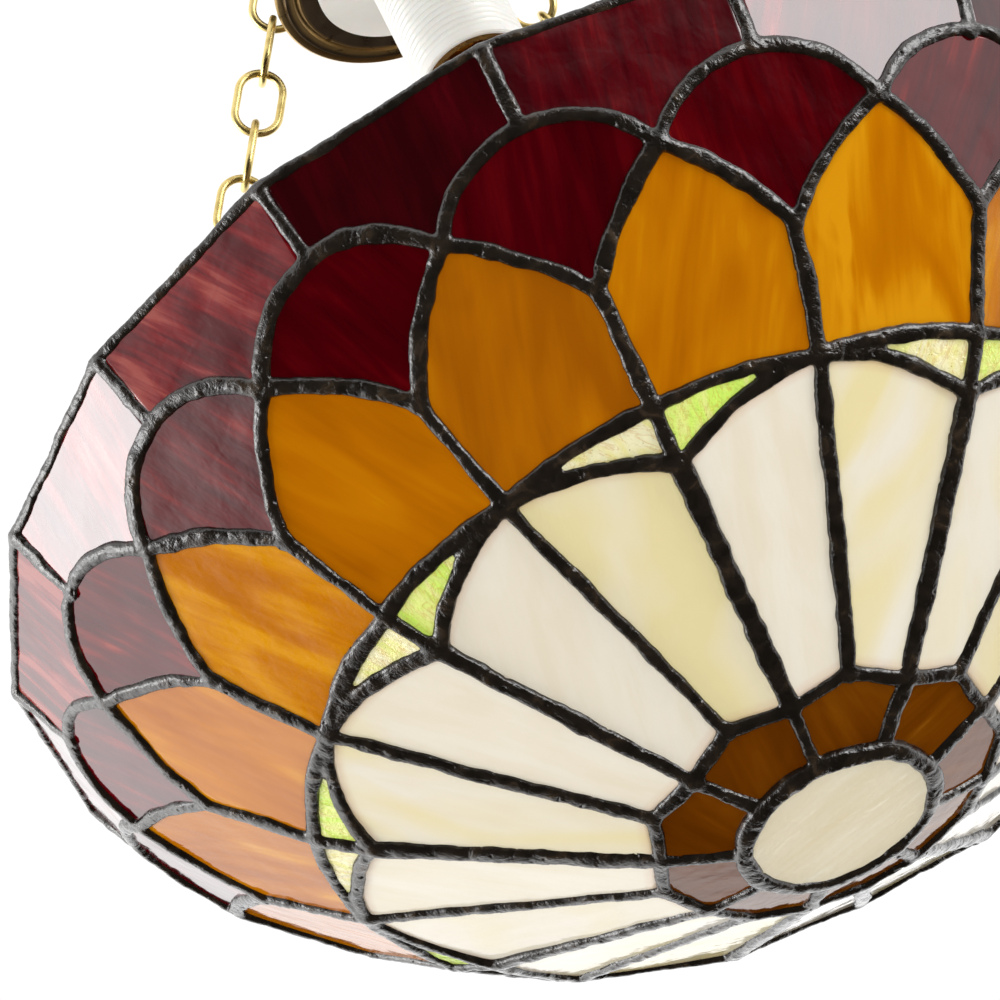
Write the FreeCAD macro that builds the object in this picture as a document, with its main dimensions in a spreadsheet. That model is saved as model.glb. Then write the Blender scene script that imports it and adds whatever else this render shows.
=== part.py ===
import FreeCAD, Part
import math
import os
import re

import Sketcher
from FreeCAD import Placement, Rotation, Vector

# A ceiling lamp: an inverted bowl of copper-foiled glass, hung by three brass chains below a
# brass ceiling rose, with one lampholder on a threaded rod between them.
# The frame: millimetres, +Z up, origin at the middle of the ceiling face of the rose.
# "drop" is a distance below the ceiling, "rise" a height above the lowest point of the bowl.

SIZES = [
    # the bowl: nine repeats of one pattern, each two facets wide
    ("repeats", 9, "repeats of the glass pattern round the bowl"),
    ("first_angle", -10, "compass angle of seam 0, degrees"),
    ("bowl_drop", 460, "lowest point of the bowl"),
    ("disc_radius", 31, "centre disc of glass"),
    ("hub_inner_radius", 32.4, "inner edge of the hub pieces"),
    ("hub_inner_rise", 2.2, ""),
    ("hub_corner_radius", 54.4, "hub corner on an even seam"),
    ("hub_corner_rise", 9.2, ""),
    ("hub_tip_radius", 57.8, "hub tip on an odd seam"),
    ("hub_tip_rise", 11.4, ""),
    ("petal_corner_radius", 132.4, "petal corner on an even seam"),
    ("petal_corner_rise", 48.6, ""),
    ("petal_tip_radius", 145.8, "petal tip on an odd seam"),
    ("petal_tip_rise", 58.9, ""),
    ("leaf_top_radius", 147.1, "upper end of the leaf pair on an even seam"),
    ("leaf_top_rise", 59.8, ""),
    ("fork_radius", 173.1, "where two flames part, on every seam"),
    ("fork_rise", 85.4, ""),
    ("flame_tip_radius", 195.4, "tip of a flame, between two seams"),
    ("flame_tip_rise", 109.7, ""),
    ("arch_radius", 204.5, "top of a scallop, on every seam"),
    ("arch_rise", 126.2, ""),
    ("rim_radius", 215, "rim corner, on every seam"),
    ("rim_rise", 150.3, ""),
    ("glass_thickness", 3, ""),
    ("foil_gap", 1.1, "from a seam's line to the edge of the glass"),
    ("petal_bulge", 4.2, "rise of the arc on a petal's outer edge"),
    ("leaf_bulge", 2.6, "rise of the arc between leaf and flame"),
    ("flame_bulge", 2.8, "rise of the arc on a flame's upper edge"),
    # solder and rim
    ("bead_width", 4.4, "solder bead over a seam"),
    ("bead_proud", 1.4, "bead above the outer face of the glass"),
    ("bead_inside", 1.0, "bead below the inner face of the glass"),
    ("centre_bead_width", 5.6, "bead round the centre disc"),
    ("bead_overrun", 1.3, "how far a straight bead runs past its ends"),
    ("came_wall", 1.2, "walls of the U-shaped rim came"),
    ("came_depth", 3.6, "height of the rim came"),
    ("came_reach", 8, "from the rim's outer corner to the inner face of the came"),
    # chains
    ("link_wire", 2.8, "diameter of a link's wire"),
    ("link_width", 18.2, "outer width of a link"),
    ("link_count", 15, "links in one chain"),
    ("link_play", 0.12, "slack between two links"),
    ("link_twist", 31.8, "turn of the links about their chain's line, degrees"),
    ("end_play", 0.4, "slack at the eye and at the bowl's loop, so that the bowl can twist"),
    ("chain_top_radius", 39.7, "where a chain hangs on its eye"),
    ("chain_top_drop", 44.1, ""),
    ("chain_foot_radius", 198.3, "where a chain holds the bowl's loop"),
    ("chain_foot_rise", 143, ""),
    ("eye_wire", 2.4, "wire of the eyes and loops"),
    ("eye_radius", 5.2, "radius of an eye's ring, to the middle of the wire"),
    ("loop_radius", 4.4, "radius of a bowl loop's ring"),
    ("loop_stem", 2.2, "soldered foot of a bowl loop"),
    # ceiling rose and its bracket
    ("rose_radius", 58, ""),
    ("rose_depth", 30, ""),
    ("rose_wall", 1.2, ""),
    ("rose_bend", 14, "radius of the rose's lower edge"),
    ("bracket_length", 92, "hat-shaped crossbar, over its two feet"),
    ("bracket_bridge", 60, "outer length of its lowered bridge"),
    ("bracket_width", 18, ""),
    ("bracket_sheet", 2, ""),
    ("bracket_depth", 20, "lower face of the bridge below the ceiling"),
    ("bracket_hole_spacing", 76, "ceiling screw holes"),
    ("bracket_hole_radius", 2.3, ""),
    ("earth_screw_offset", 21, ""),
    ("earth_screw_radius", 1.9, ""),
    ("small_nut_flats", 5.5, ""),
    ("small_nut_height", 2.4, ""),
    ("block_length", 16, "terminal block"),
    ("block_width", 13, ""),
    ("block_height", 9, ""),
    ("block_offset", 16, "its middle, on the other side of the axis from the rod"),
    ("terminal_pitch", 4.2, ""),
    ("wire_radius", 0.9, "insulated conductor"),
    ("wire_bend", 4, ""),
    ("wire_top_drop", 3.5, ""),
    ("wire_lane", 1.75, "each wire in the rod, beside its axis"),
    # rod, sleeve and cap
    ("rod_offset", 8.8, "rod and lampholder beside the terminal block"),
    ("rod_radius", 5, ""),
    ("rod_bore", 3.2, ""),
    ("rod_top_drop", 12, ""),
    ("rod_foot_drop", 80, ""),
    ("fit_gap", 0.1, "radial clearance on the rod"),
    ("nut_flats", 14, "across flats"),
    ("nut_height", 4, ""),
    ("sleeve_radius", 8, ""),
    ("cap_radius", 45.6, "outer lip of the stepped cap"),
    ("cap_drop", 70.6, "lowest face of the cap"),
    ("cap_sheet", 1.2, ""),
    ("cap_height", 5, ""),
    ("cap_ring_foot", 8.2, "inner foot of the cap's lowest ring, in from the lip"),
    ("cap_ring_top", 7.2, ""),
    ("cap_ring_edge", 6.2, ""),
    ("cap_groove_edge", 3.4, ""),
    ("cap_bead_foot", 2.6, ""),
    ("cap_bead_edge", 0.6, ""),
    ("cap_waist", 2, "upright wall, in from the lip"),
    ("cap_seat_radius", 31.3, "recess for the lampholder's flange"),
    ("cap_seat_rise", 1.8, ""),
    # lampholder
    ("flange_radius", 30.9, ""),
    ("flange_drop", 71.8, "lower face of the white flange"),
    ("flange_thickness", 3, ""),
    ("holder_radius", 20.3, "over the thread crests"),
    ("holder_bore", 18.9, ""),
    ("holder_top_drop", 80, "joint between dome and skirt"),
    ("mouth_drop", 135.8, ""),
    ("thread_pitch", 2.6, ""),
    ("thread_depth", 0.5, ""),
    ("mouth_chamfer", 0.6, ""),
    ("skirt_plain", 4, "unthreaded ends of the skirt"),
    ("dome_wall", 2, ""),
    ("dome_side", 5.7, "upright side of the dome"),
    ("dome_slope", 1, "fall of the dome's ceiling from its middle to its side"),
    ("spigot_radius", 18.8, ""),
    ("spigot_depth", 4, ""),
    ("insert_radius", 18.8, ""),
    ("insert_top_drop", 86, ""),
    ("insert_depth", 12, ""),
    ("shell_radius", 14.1, "outside of the brass screw shell"),
    ("shell_wall", 0.4, ""),
    ("shell_flare", 18.5, "flared mouth of the shell"),
    ("shell_pitch", 3.62, "pitch of the lamp thread"),
    ("shell_wave", 0.45, "depth of the lamp thread"),
    ("shell_shoulder", 1.6, "from the shell's floor to its thread"),
    ("shell_plain", 6, "length of the shell without thread"),
    ("shell_knee", 1.6, "start of the flare, outside the thread's crest"),
    ("shell_inset", 1.2, "the shell's mouth above the skirt's"),
    ("floor_gap", 2, "round the contact in the shell's floor"),
    ("contact_radius", 4.5, ""),
    ("contact_stem_radius", 1.5, ""),
    ("contact_head", 1.4, ""),
    ("contact_face", 2.25, "flat of the contact's face"),
    ("contact_chamfer", 0.56, ""),
    ("contact_stem_length", 9.6, ""),
    ("contact_gap", 0.7, "round the contact in the insert's recess"),
    ("contact_room", 1.5, "behind the contact when it is pressed in"),
    ("contact_stand", 2.2, "the contact's face below the insert"),
    ("contact_travel", 1.5, "spring of the centre contact"),
]

doc = FreeCAD.newDocument("chain_hung_glass_bowl_lamp")
sheet = doc.addObject("Spreadsheet::Sheet", "Sizes")
for row, (alias, value, note) in enumerate(SIZES, start=1):
    sheet.set(f"A{row}", alias)
    sheet.set(f"B{row}", str(value))
    sheet.set(f"C{row}", note)
    sheet.setAlias(f"B{row}", alias)
doc.recompute()

SUB_PARTS = []


def size(alias):
    """A driving dimension from the sheet."""
    return float(sheet.get(alias))


def bound(expression):
    """The same expression with every alias read from the sheet object."""
    names = {entry[0] for entry in SIZES}
    return re.sub(r"[a-z_]+", lambda word: f"Sizes.{word[0]}" if word[0] in names else word[0], expression)


def number(expression):
    """What an expression of aliases comes to."""
    return float(sheet.evalExpression(bound(expression)))


def keep(thing, label):
    thing.Label = label
    SUB_PARTS.append(thing)
    return thing


def solid_of(label, shape, place=None):
    """A sub-part whose outline no sketch or primitive gives: a faceted, foiled or bent-wire piece."""
    thing = doc.addObject("Part::Feature", label)
    thing.Shape = shape
    if place is not None:
        thing.Placement = place
    return keep(thing, label)


# ---------------------------------------------------------------- sketches and bodies


def plane_of(body, role):
    return next(plane for plane in body.Origin.OriginFeatures if plane.Role == role)


def outline(body, name, role, corners, lift="0"):
    """A closed sketch of straight edges; each corner is a pair of expressions."""
    sketch = body.newObject("Sketcher::SketchObject", name)
    sketch.AttachmentSupport = [(plane_of(body, role), "")]
    sketch.MapMode = "FlatFace"
    if lift != "0":
        sketch.setExpression("AttachmentOffset.Base.z", bound(lift))
    points = [Vector(number(across), number(up), 0) for across, up in corners]
    for index, point in enumerate(points):
        sketch.addGeometry(Part.LineSegment(point, points[(index + 1) % len(points)]), False)
    for index in range(len(points)):
        following = (index + 1) % len(points)
        sketch.addConstraint(Sketcher.Constraint("Coincident", index, 2, following, 1))
    for index, (across, up) in enumerate(corners):
        for kind, axis, expression in (("DistanceX", -2, across), ("DistanceY", -1, up)):
            if expression == "0":
                sketch.addConstraint(Sketcher.Constraint("PointOnObject", index, 1, axis))
                continue
            value = number(expression)
            made = sketch.addConstraint(Sketcher.Constraint(kind, -1, 1, index, 1, value))
            sketch.setExpression(f"Constraints[{made}]", bound(expression))
    return sketch


def circles(body, name, role, centres, radius, lift="0"):
    """A sketch of equal circles; centres are pairs of expressions, radius an expression."""
    sketch = body.newObject("Sketcher::SketchObject", name)
    sketch.AttachmentSupport = [(plane_of(body, role), "")]
    sketch.MapMode = "FlatFace"
    if lift != "0":
        sketch.setExpression("AttachmentOffset.Base.z", bound(lift))
    for index, (across, up) in enumerate(centres):
        middle = Vector(number(across), number(up), 0)
        sketch.addGeometry(Part.Circle(middle, Vector(0, 0, 1), number(radius)), False)
        made = sketch.addConstraint(Sketcher.Constraint("Radius", index, number(radius)))
        sketch.setExpression(f"Constraints[{made}]", bound(radius))
        for kind, axis, expression in (("DistanceX", -2, across), ("DistanceY", -1, up)):
            if expression == "0":
                sketch.addConstraint(Sketcher.Constraint("PointOnObject", index, 3, axis))
                continue
            value = number(expression)
            made = sketch.addConstraint(Sketcher.Constraint(kind, -1, 1, index, 3, value))
            sketch.setExpression(f"Constraints[{made}]", bound(expression))
    return sketch


def new_body(label, drop, across="0"):
    """An empty body whose own z = 0 lies at that drop below the ceiling."""
    body = doc.addObject("PartDesign::Body", label)
    body.setExpression("Placement.Base.z", bound(f"0 - ({drop})"))
    if across != "0":
        body.setExpression("Placement.Base.x", bound(across))
    return keep(body, label)


def turned(label, corners, drop, across="0"):
    """A body of revolution about its own z axis; corners are (radius, height) expressions."""
    body = new_body(label, drop, across)
    sketch = outline(body, label + "_profile", "XZ_Plane", corners)
    turn = body.newObject("PartDesign::Revolution", label + "_turn")
    turn.Profile = sketch
    turn.ReferenceAxis = (sketch, ["V_Axis"])
    turn.Angle = 360
    body.Tip = turn
    return body


def pad(body, sketch, name, height):
    block = body.newObject("PartDesign::Pad", name)
    block.Profile = sketch
    block.setExpression("Length", bound(height))
    body.Tip = block
    return block


def cut(body, sketch, name, depth, midplane=False):
    """A pocket, checked to have taken material away."""
    doc.recompute()
    before = body.Shape.Volume
    hole = body.newObject("PartDesign::Pocket", name)
    hole.Profile = sketch
    hole.Midplane = midplane
    hole.setExpression("Length", bound(depth))
    body.Tip = hole
    doc.recompute()
    if body.Shape.Volume >= before - 1e-6:
        hole.Reversed = True
        doc.recompute()
    if body.Shape.Volume >= before - 1e-6:
        raise RuntimeError(f"{name} removes nothing")
    return hole


def box_corners(half_length, half_width):
    return [
        (f"0 - ({half_length})", f"0 - ({half_width})"),
        (half_length, f"0 - ({half_width})"),
        (half_length, half_width),
        (f"0 - ({half_length})", half_width),
    ]


def hexagon(half_flats):
    """Corners of a hexagon with its flats facing +Y and -Y."""
    corner = f"({half_flats}) / cos(30deg)"
    corners = []
    for step in range(6):
        turn = f"{60 * step}deg"
        corners.append((f"{corner} * cos({turn})", f"{corner} * sin({turn})"))
    return corners


def hex_nut(label, drop, across, bore):
    body = new_body(label, drop, across)
    pad(body, outline(body, label + "_flats", "XY_Plane", hexagon("nut_flats / 2")), label + "_block",
        "nut_height")
    cut(body, circles(body, label + "_thread", "XY_Plane", [("0", "0")], bore), label + "_hole",
        "nut_height * 3", True)
    return body


# ---------------------------------------------------------------- the bowl's seam lines


def corner(ring, seam):
    """The point of a ring of corners that lies on a seam; seams are half a repeat apart."""
    angle = math.radians(size("first_angle") - seam * 180 / size("repeats"))
    radius = size(ring + "_radius")
    height = size(ring + "_rise") - size("bowl_drop")
    return Vector(radius * math.cos(angle), radius * math.sin(angle), height)


def outward(point):
    """The bowl's outward direction near a point, from the slope between the rings round it."""
    rings = ("hub_inner", "hub_corner", "petal_corner", "leaf_top", "fork", "flame_tip", "arch", "rim")
    radius = math.hypot(point.x, point.y)
    pairs = list(zip(rings[:-1], rings[1:]))
    for low, high in pairs:
        if radius < size(high + "_radius") or (low, high) == pairs[-1]:
            across = size(high + "_radius") - size(low + "_radius")
            up = size(high + "_rise") - size(low + "_rise")
            break
    length = math.hypot(across, up)
    return Vector(point.x / radius * up / length, point.y / radius * up / length, -across / length)


def bulged(start, end, bulge):
    """Middle of an arc from start to end that rises towards the rim by bulge."""
    middle = (start + end) * 0.5
    side = (end - start).cross(outward(middle)).normalize()
    uphill = Vector(0, 0, 1)
    if side.dot(uphill) < 0:
        side = side * -1
    return middle + side * bulge


def petal_edge(even, odd):
    start, end = corner("petal_corner", even), corner("petal_tip", odd)
    return start, bulged(start, end, size("petal_bulge")), end


def leaf_edge(even, odd):
    start, end = corner("leaf_top", even), corner("petal_tip", odd)
    return start, bulged(start, end, size("leaf_bulge")), end


def flame_edge(seam, side):
    """Upper edge of a flame, from the fork on a seam to the tip half a facet to one side."""
    start, end = corner("fork", seam), corner("flame_tip", seam + side / 2)
    middle = (start + end) * 0.5
    away = (end - start).cross(outward(middle)).normalize()
    inside = corner("petal_tip", seam + side / 2) - middle
    if away.dot(inside) > 0:
        away = away * -1
    return start, middle + away * size("flame_bulge"), end


def scallop_edge(seam):
    return corner("flame_tip", seam - 0.5), corner("arch", seam), corner("flame_tip", seam + 0.5)


def arch_half(seam, side):
    """The part of a scallop's arc between its top and a flame tip, as a three-point arc."""
    first, top, last = scallop_edge(seam)
    arc = Part.Arc(first, top, last)
    end = first if side < 0 else last
    low, high = sorted((arc.parameter(top), arc.parameter(end)))
    return top, arc.value((low + high) / 2), end


# ---------------------------------------------------------------- glass


def flat_outline(edges):
    """A planar face with those edges (start, middle or None, end), laid in their mean plane."""
    points = [point for start, middle, end in edges for point in (start, middle) if point]
    centre = sum(points, Vector()) * (1 / len(points))
    normal = Vector()
    for index, point in enumerate(points):
        following = points[(index + 1) % len(points)]
        normal += (point - centre).cross(following - centre)
    normal.normalize()
    if normal.dot(outward(centre)) < 0:
        normal = normal * -1

    def laid(point):
        return point - normal * (point - centre).dot(normal)

    curves = []
    for start, middle, end in edges:
        if middle is None:
            curves.append(Part.LineSegment(laid(start), laid(end)).toShape())
        else:
            curves.append(Part.Arc(laid(start), laid(middle), laid(end)).toShape())
    return Part.Face(Part.Wire(curves)), normal


def glass_panel(edges):
    """One cut piece of glass, smaller than its outline by the foil gap all round."""
    face, normal = flat_outline(edges)
    cut_face = face.makeOffset2D(-size("foil_gap"), 2)
    return cut_face.extrude(normal * -size("glass_thickness"))


def line(start, end):
    return start, None, end


def backwards(edge):
    start, middle, end = edge
    return end, middle, start


def hub_panel(seam):
    """Five-sided piece centred on an odd seam, with an arc towards the centre disc."""
    left, right = corner("hub_corner", seam - 1), corner("hub_corner", seam + 1)
    tip = corner("hub_tip", seam)
    arc = (corner("hub_inner", seam + 1), corner("hub_inner", seam), corner("hub_inner", seam - 1))
    return glass_panel([line(left, tip), line(tip, right), line(right, arc[0]), arc, line(arc[2], left)])


def petal_panel(even, odd):
    start, end = corner("hub_corner", even), corner("hub_tip", odd)
    outer = petal_edge(even, odd)
    return glass_panel([line(start, end), line(end, outer[2]), backwards(outer), line(outer[0], start)])


def leaf_panel(even, odd):
    inner, outer = petal_edge(even, odd), leaf_edge(even, odd)
    return glass_panel([inner, backwards(outer), line(outer[0], inner[0])])


def flame_panel(even, odd):
    side = odd - even
    foot = leaf_edge(even, odd)
    left, right = flame_edge(even, side), flame_edge(odd, -side)
    return glass_panel([foot, line(foot[2], right[0]), right, backwards(left), line(left[0], foot[0])])


def scallop_panel(seam):
    left, right = flame_edge(seam, -1), flame_edge(seam, 1)
    return glass_panel([backwards(left), right, backwards(scallop_edge(seam))])


def rim_panel(seam):
    """Panel between two seams, under the straight rim, with the two scallops' arcs below."""
    left, right = arch_half(seam, 1), arch_half(seam + 1, -1)
    corners = corner("rim", seam), corner("rim", seam + 1)
    return glass_panel([
        line(corners[0], left[0]), left, backwards(right), line(right[0], corners[1]),
        line(corners[1], corners[0]),
    ])


def glass_group(label, panels):
    return solid_of(label, Part.makeCompound(panels))


seams = range(2 * int(size("repeats")))
even_seams = [seam for seam in seams if seam % 2 == 0]
pairs = [(even, even + side) for even in even_seams for side in (-1, 1)]

disc = doc.addObject("Part::Cylinder", "centre_disc")
disc.setExpression("Radius", bound("disc_radius - foil_gap"))
disc.setExpression("Height", bound("glass_thickness"))
disc.setExpression("Placement.Base.z", bound("0 - bowl_drop"))
keep(disc, "centre_disc")
glass_group("hub_panels", [hub_panel(even + 1) for even in even_seams])
glass_group("petal_panels", [petal_panel(even, odd) for even, odd in pairs])
glass_group("leaf_panels", [leaf_panel(even, odd) for even, odd in pairs])
glass_group("flame_panels", [flame_panel(even, odd) for even, odd in pairs])
glass_group("scallop_panels", [scallop_panel(seam) for seam in seams])
glass_group("rim_panels", [rim_panel(seam) for seam in seams])

# ---------------------------------------------------------------- solder


def bead(edge):
    """Straight-sided bars along a seam's line, standing proud of both faces of the glass."""
    start, middle, end = edge
    width = size("bead_width")
    overrun = size("bead_overrun")
    if middle is None:
        points = [start, end]
    else:
        points = Part.Arc(start, middle, end).toShape().discretize(4)
    bars = []
    for first, second in zip(points[:-1], points[1:]):
        along = (second - first).normalize()
        normal = outward((first + second) * 0.5)
        across = along.cross(normal).normalize() * (width / 2)
        normal = across.cross(along).normalize()
        if normal.dot(outward(first)) < 0:
            normal = normal * -1
        top = normal * size("bead_proud")
        depth = normal * -(size("glass_thickness") + size("bead_inside"))
        tail = first - along * overrun
        ring = [tail + across + top, tail - across + top, tail - across + depth, tail + across + depth]
        face = Part.Face(Part.makePolygon(ring + ring[:1]))
        bars.append(face.extrude(along * ((second - first).Length + 2 * overrun)))
    return bars


def sector():
    """A wedge about the bowl's axis, one repeat wide, from seam 0 to seam 2."""
    margin = 20
    far = size("rim_radius") + 3 * margin
    low = -size("bowl_drop") - margin
    angles = [math.radians(size("first_angle") - seam * 180 / size("repeats")) for seam in (0, 1, 2)]
    points = [Vector(0, 0, low)] + [Vector(far * math.cos(a), far * math.sin(a), low) for a in angles]
    height = size("rim_rise") + 2 * margin
    return Part.Face(Part.makePolygon(points + points[:1])).extrude(Vector(0, 0, height))


def repeat_of(edges):
    """The beads of one repeat of the pattern, trimmed to its wedge."""
    bars = [bar for edge in edges for bar in bead(edge)]
    return bars[0].multiFuse(bars[1:]).common(sector()).removeSplitter()


def round_the_bowl(shape):
    """Nine turned copies of one repeat, joined where they meet."""
    step = 360 / size("repeats")
    copies = []
    for count in range(int(size("repeats"))):
        copy = shape.copy()
        copy.rotate(Vector(0, 0, 0), Vector(0, 0, 1), step * count)
        copies.append(copy)
    return copies[0].multiFuse(copies[1:])


def solder(label, edges_of):
    """A ring of solder seams: edges_of lists a repeat's edges between the seams 0, 1 and 2."""
    return solid_of(label, round_the_bowl(repeat_of(edges_of)))


hub_spokes = [line(corner("hub_inner", seam), corner("hub_corner", seam)) for seam in (0, 2)]
hub_rim = [line(corner("hub_corner", seam), corner("hub_tip", 1)) for seam in (0, 2)]
petal_sides = [line(corner("hub_corner", seam), corner("petal_corner", seam)) for seam in (0, 2)]
petal_middle = [line(corner("hub_tip", 1), corner("petal_tip", 1))]
petal_tops = [petal_edge(0, 1), petal_edge(2, 1)]
leaf_sides = [line(corner("petal_corner", seam), corner("leaf_top", seam)) for seam in (0, 2)]
leaf_tops = [leaf_edge(0, 1), leaf_edge(2, 1)]
flame_sides = [line(corner("leaf_top", seam), corner("fork", seam)) for seam in (0, 2)]
flame_middle = [line(corner("petal_tip", 1), corner("fork", 1))]
flame_tops = [flame_edge(0, 1), flame_edge(1, -1), flame_edge(1, 1), flame_edge(2, -1)]
arches = [arch_half(0, 1), arch_half(1, -1), arch_half(1, 1), arch_half(2, -1)]
rim_bars = [line(corner("arch", seam), corner("rim", seam)) for seam in (0, 1, 2)]

inner_edges = hub_spokes + hub_rim + petal_sides + petal_middle
middle_edges = petal_tops + leaf_sides + leaf_tops + flame_sides + flame_middle
outer_edges = flame_tops + arches + rim_bars
solder("inner_solder", inner_edges)
solder("middle_solder", middle_edges)
solder("outer_solder", outer_edges)

# the bead round the centre disc, a chamfered ring
turned("centre_solder", [
    ("disc_radius - centre_bead_width / 2", "bead_proud"),
    ("disc_radius - centre_bead_width / 4", "0"),
    ("disc_radius + centre_bead_width / 4", "0"),
    ("disc_radius + centre_bead_width / 2", "bead_proud"),
    ("disc_radius + centre_bead_width / 2", "bead_proud + glass_thickness + hub_inner_rise"),
    ("disc_radius - centre_bead_width / 2", "bead_proud + glass_thickness + bead_inside"),
], "bowl_drop + bead_proud")


def came_prism(name, circumradius, height, foot):
    prism = doc.addObject("Part::Prism", name)
    prism.setExpression("Polygon", bound("repeats * 2"))
    prism.setExpression("Circumradius", bound(circumradius))
    prism.setExpression("Height", bound(height))
    prism.setExpression("Placement.Base.z", bound(f"rim_rise - bowl_drop - ({foot})"))
    prism.setExpression("Placement.Rotation.Angle", bound("first_angle"))
    prism.setExpression("Placement.Rotation.Axis.z", "1")
    return prism


rim_came = doc.addObject("Part::Cut", "rim_came")
rim_came.Base = came_prism("came_outside", "rim_radius + came_wall", "came_depth", "came_depth - came_wall")
rim_came.Tool = came_prism("came_inside", "rim_radius + came_wall - came_reach", "came_depth * 2",
                           "came_depth")
keep(rim_came, "rim_came")

# ---------------------------------------------------------------- eyes, loops and chains

CHAINS = {"left": 210, "right": 330, "back": 90}


def radial(angle):
    return Vector(math.cos(math.radians(angle)), math.sin(math.radians(angle)), 0)


def chain_ends(angle):
    top = radial(angle) * size("chain_top_radius") + Vector(0, 0, -size("chain_top_drop"))
    foot = radial(angle) * size("chain_foot_radius")
    foot += Vector(0, 0, size("chain_foot_rise") - size("bowl_drop"))
    return top, foot


def chain_axes(angle):
    """Unit vectors up along a chain and square to the flat side of its first link."""
    top, foot = chain_ends(angle)
    along = (top - foot).normalize()
    square = radial(angle).cross(Vector(0, 0, 1)).normalize()
    return along, Rotation(along, size("link_twist")).multVec(square)


def wire_ring(centre, axis, radius, wire):
    return Part.makeTorus(radius, wire / 2, centre, axis)


def canopy_eye(angle):
    """A ring whose lowest wire carries the chain, on a shank through the rose."""
    top = chain_ends(angle)[0]
    square = chain_axes(angle)[1]
    centre = top + Vector(0, 0, size("eye_radius"))
    axis = square.cross(Vector(0, 0, 1)).normalize()
    ring = wire_ring(centre, axis, size("eye_radius"), size("eye_wire"))
    shank_foot = centre + Vector(0, 0, size("eye_radius") - size("eye_wire") / 4)
    shank_end = size("rose_wall") + size("small_nut_height") * 2 - size("rose_depth")
    shank_length = shank_end - shank_foot.z
    shank = Part.makeCylinder(size("eye_wire") / 2, shank_length, shank_foot, Vector(0, 0, 1))
    return ring.fuse(shank)


def link(centre, along, across):
    """One closed oval link, its long way along the chain and its flat side square to across."""
    half = link_length() / 2 - size("link_width") / 2
    bend = size("link_width") / 2 - size("link_wire") / 2
    side = along.cross(across)
    ends = [centre + along * half, centre - along * half]
    edges = [
        Part.LineSegment(ends[1] + side * bend, ends[0] + side * bend).toShape(),
        Part.Arc(ends[0] + side * bend, ends[0] + along * bend, ends[0] - side * bend).toShape(),
        Part.LineSegment(ends[0] - side * bend, ends[1] - side * bend).toShape(),
        Part.Arc(ends[1] - side * bend, ends[1] - along * bend, ends[1] + side * bend).toShape(),
    ]
    path = Part.Wire(edges)
    circle = Part.Circle(centre + side * bend, along, size("link_wire") / 2)
    section = Part.Wire([circle.toShape()])
    return path.makePipeShell([section], True, False)


def chain_step():
    """Distance between two links, so that the links fill the way from eye to loop."""
    top, foot = chain_ends(0)
    wires = (size("link_wire") + size("eye_wire")) / 2 + size("end_play")
    between_ends = (top - foot).Length + 2 * wires
    return (between_ends - size("link_wire") - size("link_play")) / size("link_count")


def link_length():
    """Outer length: two links touch when one step is the length less two wires."""
    return chain_step() + 2 * size("link_wire") + size("link_play")


def chain(angle):
    top = chain_ends(angle)[0]
    along, square = chain_axes(angle)
    wires = (size("link_wire") + size("eye_wire")) / 2 + size("end_play")
    first = top + along * (wires - (link_length() - size("link_wire")) / 2)
    links = []
    for count in range(int(size("link_count"))):
        centre = first - along * (chain_step() * count)
        across = square if count % 2 == 0 else along.cross(square)
        links.append(link(centre, along, across))
    return Part.makeCompound(links)


def bowl_loop(angle):
    """The wire ring soldered inside the rim, turned so that the last link passes through it."""
    foot = chain_ends(angle)[1]
    along, square = chain_axes(angle)
    last_is_like_first = int(size("link_count")) % 2 == 1
    axis = along.cross(square) if last_is_like_first else square
    ring = wire_ring(foot - along * size("loop_radius"), axis, size("loop_radius"), size("eye_wire"))
    ring_low = foot - along * (2 * size("loop_radius"))
    return ring.fuse(Part.makeCylinder(size("eye_wire") / 2, size("loop_stem"), ring_low, -along))


solid_of("chain_eyes", Part.makeCompound([canopy_eye(angle) for angle in CHAINS.values()]))
for name, angle in CHAINS.items():
    solid_of(f"chain_{name}", chain(angle))
solid_of("bowl_loops", Part.makeCompound([bowl_loop(angle) for angle in CHAINS.values()]))

# ---------------------------------------------------------------- ceiling rose and bracket


def bend_corners(bend, steps=6):
    """Corners along a quarter round at the rose's lower edge, from its floor up to its side."""
    corners = []
    for step in range(steps + 1):
        angle = f"{90 * step / steps}deg"
        corners.append((f"rose_radius - rose_bend + {bend} * sin({angle})",
                        f"rose_bend - {bend} * cos({angle})"))
    return corners


def across_ring(radius, angles):
    """Expressions for points on a circle, one for each compass angle."""
    return [(f"{radius} * cos({angle}deg)", f"{radius} * sin({angle}deg)") for angle in angles]


rose_inside = list(reversed(bend_corners("( rose_bend - rose_wall )")))
rose = turned("ceiling_rose", [("0", "0")] + bend_corners("rose_bend") + [
    ("rose_radius", "rose_depth"), ("rose_radius - rose_wall", "rose_depth"),
] + rose_inside + [("0", "rose_wall")], "rose_depth")
cut(rose, circles(rose, "rose_rod_ring", "XY_Plane", [("rod_offset", "0")], "rod_radius + fit_gap"),
    "rose_rod_hole", "rose_wall * 4", True)
eye_points = across_ring("chain_top_radius", CHAINS.values())
cut(rose, circles(rose, "rose_eye_rings", "XY_Plane", eye_points, "eye_wire / 2 + fit_gap"),
    "rose_eye_holes", "rose_wall * 4", True)

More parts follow.
